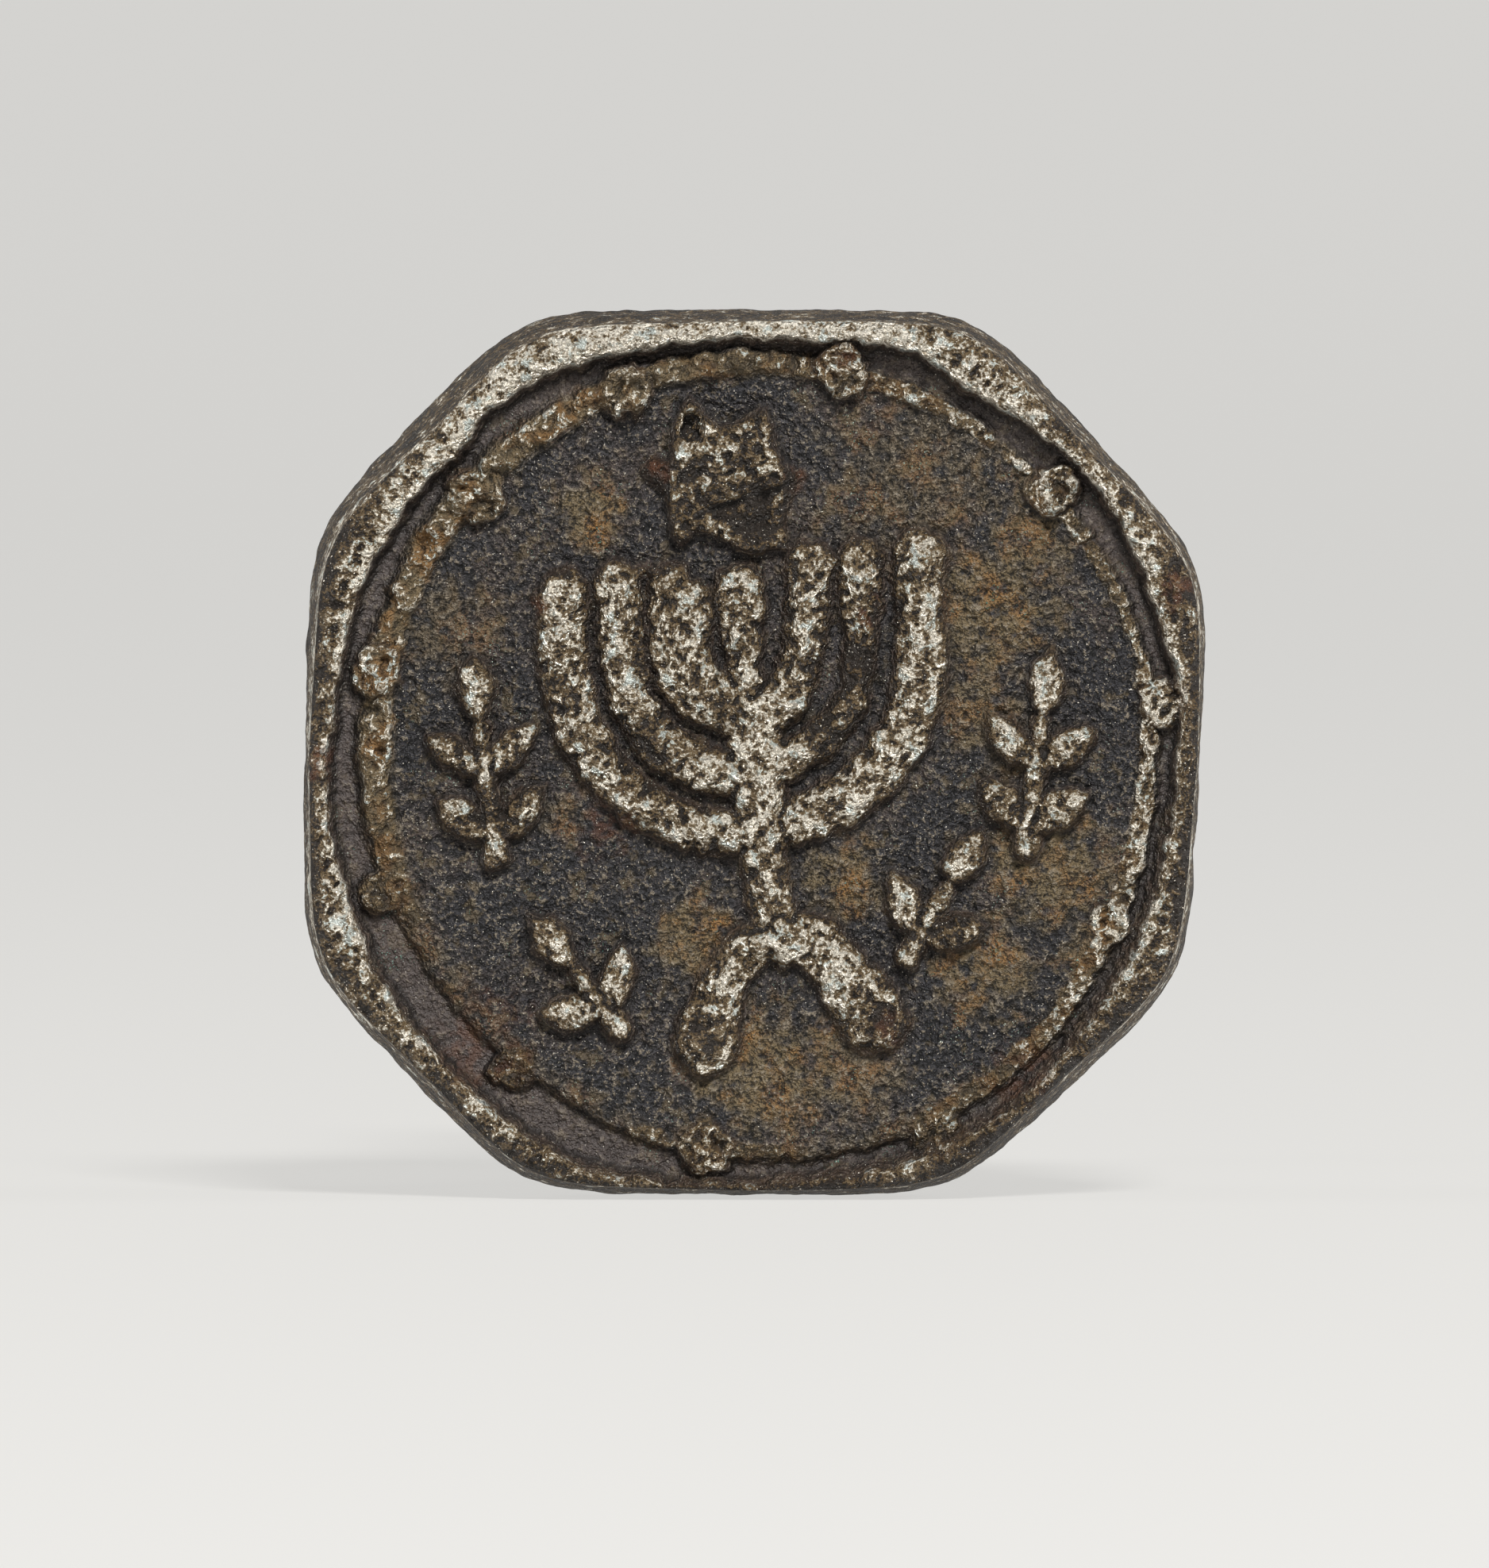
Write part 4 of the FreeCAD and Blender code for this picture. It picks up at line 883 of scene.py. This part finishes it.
def finish_cast_seal():
    finish = Finish("worn_cast_bronze")
    raised, flank, smooth, crust, rust, wear, hollow = (
        finish.share(name) for name in ("raised", "flank", "smooth", "crust", "rust", "wear", "hollow"))
    broad, patch = finish.lumps(2.6, 3), finish.lumps(0.8, 3, shift=3.0)
    blotch, grit = finish.lumps(0.4, 3, 0.6, shift=5.0), finish.lumps(0.2, 2.5, 0.6, shift=7.0)
    sand, fine = finish.lumps(0.18, 2.5, 0.6, shift=11.0), finish.lumps(0.08, 2, 0.6, shift=15.0)
    speck = finish.lumps(0.05, 1, shift=19.0)

    field = finish.blend((broad * 0.5 + patch * 0.5).between(0.46, 0.62), SLATE, PLUM)
    field = finish.blend(smooth * 0.9, field, PLUM)
    earth = finish.blend(patch.between(0.45, 0.65), EARTH, OCHRE)
    field = finish.blend(crust * 1.2 * blotch.between(0.3, 0.52), field, earth)
    rough = 1 - smooth * 0.75
    grain = sand * 0.5 + fine * 0.5
    field = finish.blend(grain.between(0.49, 0.42) * rough * 0.8, field, SOOT_AND_SHADE)
    # Painted highlight with pale dust: the field's grain is made paler on its high spots.
    field = finish.blend(grain.between(0.53, 0.62) * rough * 0.8, field, DUST_AND_HIGHLIGHT)
    field = finish.blend(blotch.between(0.52, 0.6) * patch.between(0.46, 0.56) * rough * 0.5, field, EARTH)
    field = finish.blend(speck.between(0.66, 0.7) * patch.between(0.54, 0.64), field, VERDIGRIS)

    depth = hollow.maths("MAXIMUM", hollow, -0.3)
    net = finish.net(0.3)
    level = net * 0.16 + grit * 0.3 + blotch * 0.26 + fine * 0.42 + wear * 0.32 - depth * 0.14 - 0.225
    proud_skin = finish.blend(level.between(0.4, 0.465), PIT, OLIVE)
    proud_skin = finish.blend(crust * 0.8, proud_skin, earth)
    proud_skin = finish.blend(level.between(0.47, 0.53), proud_skin, KHAKI)
    tops = level.between(0.515, 0.575)
    metal = finish.blend(blotch.between(0.54, 0.62), PALE, FROST)
    metal = finish.blend((fine * 0.6 + grit * 0.4).between(0.52, 0.4) * 0.85, metal, KHAKI)
    proud_skin = finish.blend(tops, proud_skin, metal)
    proud = raised.between(0.5, 0.9)
    skin = finish.blend(proud, field, proud_skin)
    # Brown on the walls of the relief: patina, and painted shade that outlines the relief.
    skin = finish.blend(flank * 0.6, skin, UMBER)
    # Painted shade: the soot colour laid into the hollows and along the feet of the relief.
    skin = finish.blend(hollow.between(0.3, 1.1) * 0.6, skin, SOOT_AND_SHADE)
    skin = finish.blend(rust * blotch.between(0.4, 0.6) * 0.7, skin, RUST)
    # Painted highlights: pale specks that stand for sparks of light, also made partly metallic below.
    painted_glint = speck.between(0.69, 0.76)
    skin = finish.blend(painted_glint * (1 - crust) * rough, skin, PALE)

    bare = (proud * tops * 0.65 + painted_glint * 0.5).clamped()
    roughness = 0.58 - 0.28 * bare - 0.06 * smooth + 0.15 * crust
    relief = proud * (net * 0.1 + grit * 0.46 - sand * 0.46) + sand * (0.7 - 0.54 * smooth)
    relief = relief + fine * (0.16 - 0.09 * smooth)
    finish.wear(base_color=skin, metallic=bare, roughness=roughness, normal=finish.relief(relief, 1.0))
    return finish.material


seal.data.materials.append(finish_cast_seal())
print("seal finish:", len(seal.data.materials[0].node_tree.nodes), "nodes")

# %% [markdown]
# The hoop is smoother and warmer, because it was forged, filed and rubbed on the finger. Its dark brown patina
# thins along the edges, where metal shows, and stays dark and a little green in the dents. The solder has gone
# as dull as lead.

# %% Finishes of the hoop and the solder
HOOP_BROWN, HOOP_DARK, HOOP_METAL = colour(100, 80, 58), colour(48, 41, 35), colour(176, 152, 118)
SOLDER_GREY, SOLDER_PALE = colour(66, 64, 60), colour(124, 121, 112)


def finish_forged_hoop():
    finish = Finish("worn_forged_bronze")
    edge = finish.share("edge")
    broad, patch = finish.lumps(2.4, 3), finish.lumps(0.7, 4, shift=5.0)
    fine, grain = finish.lumps(0.16, 4, 0.6, shift=9.0), finish.lumps(0.06, 2, shift=13.0)
    skin = finish.blend((broad * 0.5 + patch * 0.5).between(0.42, 0.58), HOOP_DARK, HOOP_BROWN)
    skin = finish.blend(fine.between(0.48, 0.36) * 0.7, skin, SOOT_AND_SHADE)
    level = fine * 0.55 + patch * 0.45 + edge * 0.16
    rubbed = level.between(0.56, 0.62)
    skin = finish.blend(rubbed * 0.85, skin, HOOP_METAL)
    skin = finish.blend(patch.between(0.58, 0.68) * fine.between(0.5, 0.6) * 0.35, skin, VERDIGRIS)
    relief = fine * 0.8 + grain * 0.2 + rubbed * 0.1
    finish.wear(base_color=skin, metallic=rubbed * 0.75 + 0.1, roughness=0.55 - 0.18 * rubbed,
                normal=finish.relief(relief, 0.07))
    return finish.material


def finish_old_solder():
    finish = Finish("old_solder")
    patch, fine = finish.lumps(0.6, 3), finish.lumps(0.15, 3, shift=4.0)
    skin = finish.blend((patch * 0.6 + fine * 0.4).between(0.46, 0.62), SOLDER_GREY, SOLDER_PALE)
    skin = finish.blend(fine.between(0.47, 0.36) * 0.6, skin, SOOT_AND_SHADE)
    finish.wear(base_color=skin, metallic=0.35, roughness=0.58 - 0.15 * patch, normal=finish.relief(fine, 0.05))
    return finish.material


def mark_edges():
    """How near each corner of the hoop is to one of its long outer edges, as a share."""
    x, y, z = places_of(hoop).T / MM
    half = np.array([hoop_half_width(forward) for forward in -y])
    reach = np.array([hoop_reach(turn) for turn in np.arctan2(z, -y)])
    from_side, from_outside = half - np.abs(x), reach - np.hypot(y, z)
    return smooth_step(0.6, 0.15, from_side) * smooth_step(0.6, 0.15, from_outside)


keep_share(hoop, "edge", mark_edges())
hoop.data.materials.append(finish_forged_hoop())
solder_finish = finish_old_solder()
for joint in (bezel_fillet, seam_fill):
    joint.data.materials.append(solder_finish)
print("finishes:", [material.name for material in bpy.data.materials if material.users])

# %% [markdown]
# The stage is a pale floor that turns up into a backdrop, as a photographer's paper does: a flat face whose far
# edge is extruded upwards and whose fold is rounded by a bevel.

# %% Stage
PAPER_HALVES, PAPER_RISE, PAPER_FOLD = (800, 960), 700, 160
PAPER_LEVEL = -10.03
PAPER_COLOUR, PAPER_GLOW, GLOW_SHARE = colour(200, 198, 194), colour(236, 235, 232), 0.72


def make_paper():
    paper = bmesh.new()
    sheet = bmesh.ops.create_grid(paper, x_segments=1, y_segments=1, size=1)["verts"]
    bmesh.ops.scale(paper, verts=sheet, vec=(*PAPER_HALVES, 1))
    bmesh.ops.translate(paper, verts=sheet, vec=(0, 0, PAPER_LEVEL))
    far = [edge for edge in paper.edges if all(corner.co.y > 0 for corner in edge.verts)]
    risen = bmesh.ops.extrude_edge_only(paper, edges=far)["geom"]
    bmesh.ops.translate(paper, verts=[part for part in risen if isinstance(part, bmesh.types.BMVert)],
                        vec=(0, 0, PAPER_RISE))
    bmesh.ops.bevel(paper, geom=far, offset=PAPER_FOLD, affect="EDGES", segments=24, profile=0.5, material=-1)
    bmesh.ops.scale(paper, verts=paper.verts, vec=(MM,) * 3)
    return mesh_from(paper, "paper")


def finish_paper():
    """Plain paper, evened out by a share of its own pale colour wherever a camera or a reflection sees it."""
    finish = Finish("pale_paper")
    finish.wear(base_color=PAPER_COLOUR, roughness=0.7)
    camera, glossy, through = (
        finish.node("ShaderNodeLightPath", output=ray)
        for ray in ("Is Camera Ray", "Is Glossy Ray", "Is Transmission Ray"))
    seen = (camera + glossy + through).clamped() * GLOW_SHARE
    glow = finish.node("ShaderNodeEmission", None, {"Color": PAPER_GLOW, "Strength": 1.0})
    lit = Signal(finish, finish.shader.outputs["BSDF"])
    surface = finish.node("ShaderNodeMixShader", None, {0: seen, 1: lit, 2: glow})
    finish.set_input(finish.tree.nodes["Material Output"].inputs["Surface"], surface)
    return finish.material


paper = make_paper()
paper.data.materials.append(finish_paper())
print("paper:", [round(length / MM) for length in paper.dimensions], "mm")

# %% [markdown]
# Soft light comes from a large lamp high in front and a little to the right, as the shadows in the relief say. It
# falls across the seal at a slant, so that every grain shows. Two lamps at the sides edge the rim
# and a weak one stands in front. The world is a dim grey that keeps the shadows open.

# %% Light
LAMPS = (
    ("overhead", (100, -420, 400), (150, 110), 3.9),
    ("front", (-80, -560, 60), (300, 300), 0.5),
    ("right_edge", (420, -30, 90), (120, 320), 0.9),
    ("left_edge", (-420, -30, 90), (120, 320), 0.7),
)
WORLD_LEVEL = 0.12


def hang_lamp(name, place, size, watts):
    lamp = bpy.data.lights.new(name, "AREA")
    lamp.shape = "RECTANGLE"
    lamp.size, lamp.size_y = size[0] * MM, size[1] * MM
    lamp.energy = watts
    holder = add_object(name, lamp)
    holder.location = Vector(place) * MM
    holder.rotation_euler = (-holder.location).to_track_quat("-Z", "Y").to_euler()


for lamp in LAMPS:
    hang_lamp(*lamp)
world = bpy.data.worlds.new("studio")
bpy.context.scene.world = world
world.use_nodes = True
background = world.node_tree.nodes["Background"]
background.inputs["Color"].default_value = (*colour(232, 232, 232), 1)
background.inputs["Strength"].default_value = WORLD_LEVEL
bpy.context.scene.view_settings.view_transform = "Standard"
print(len(LAMPS), "lamps")
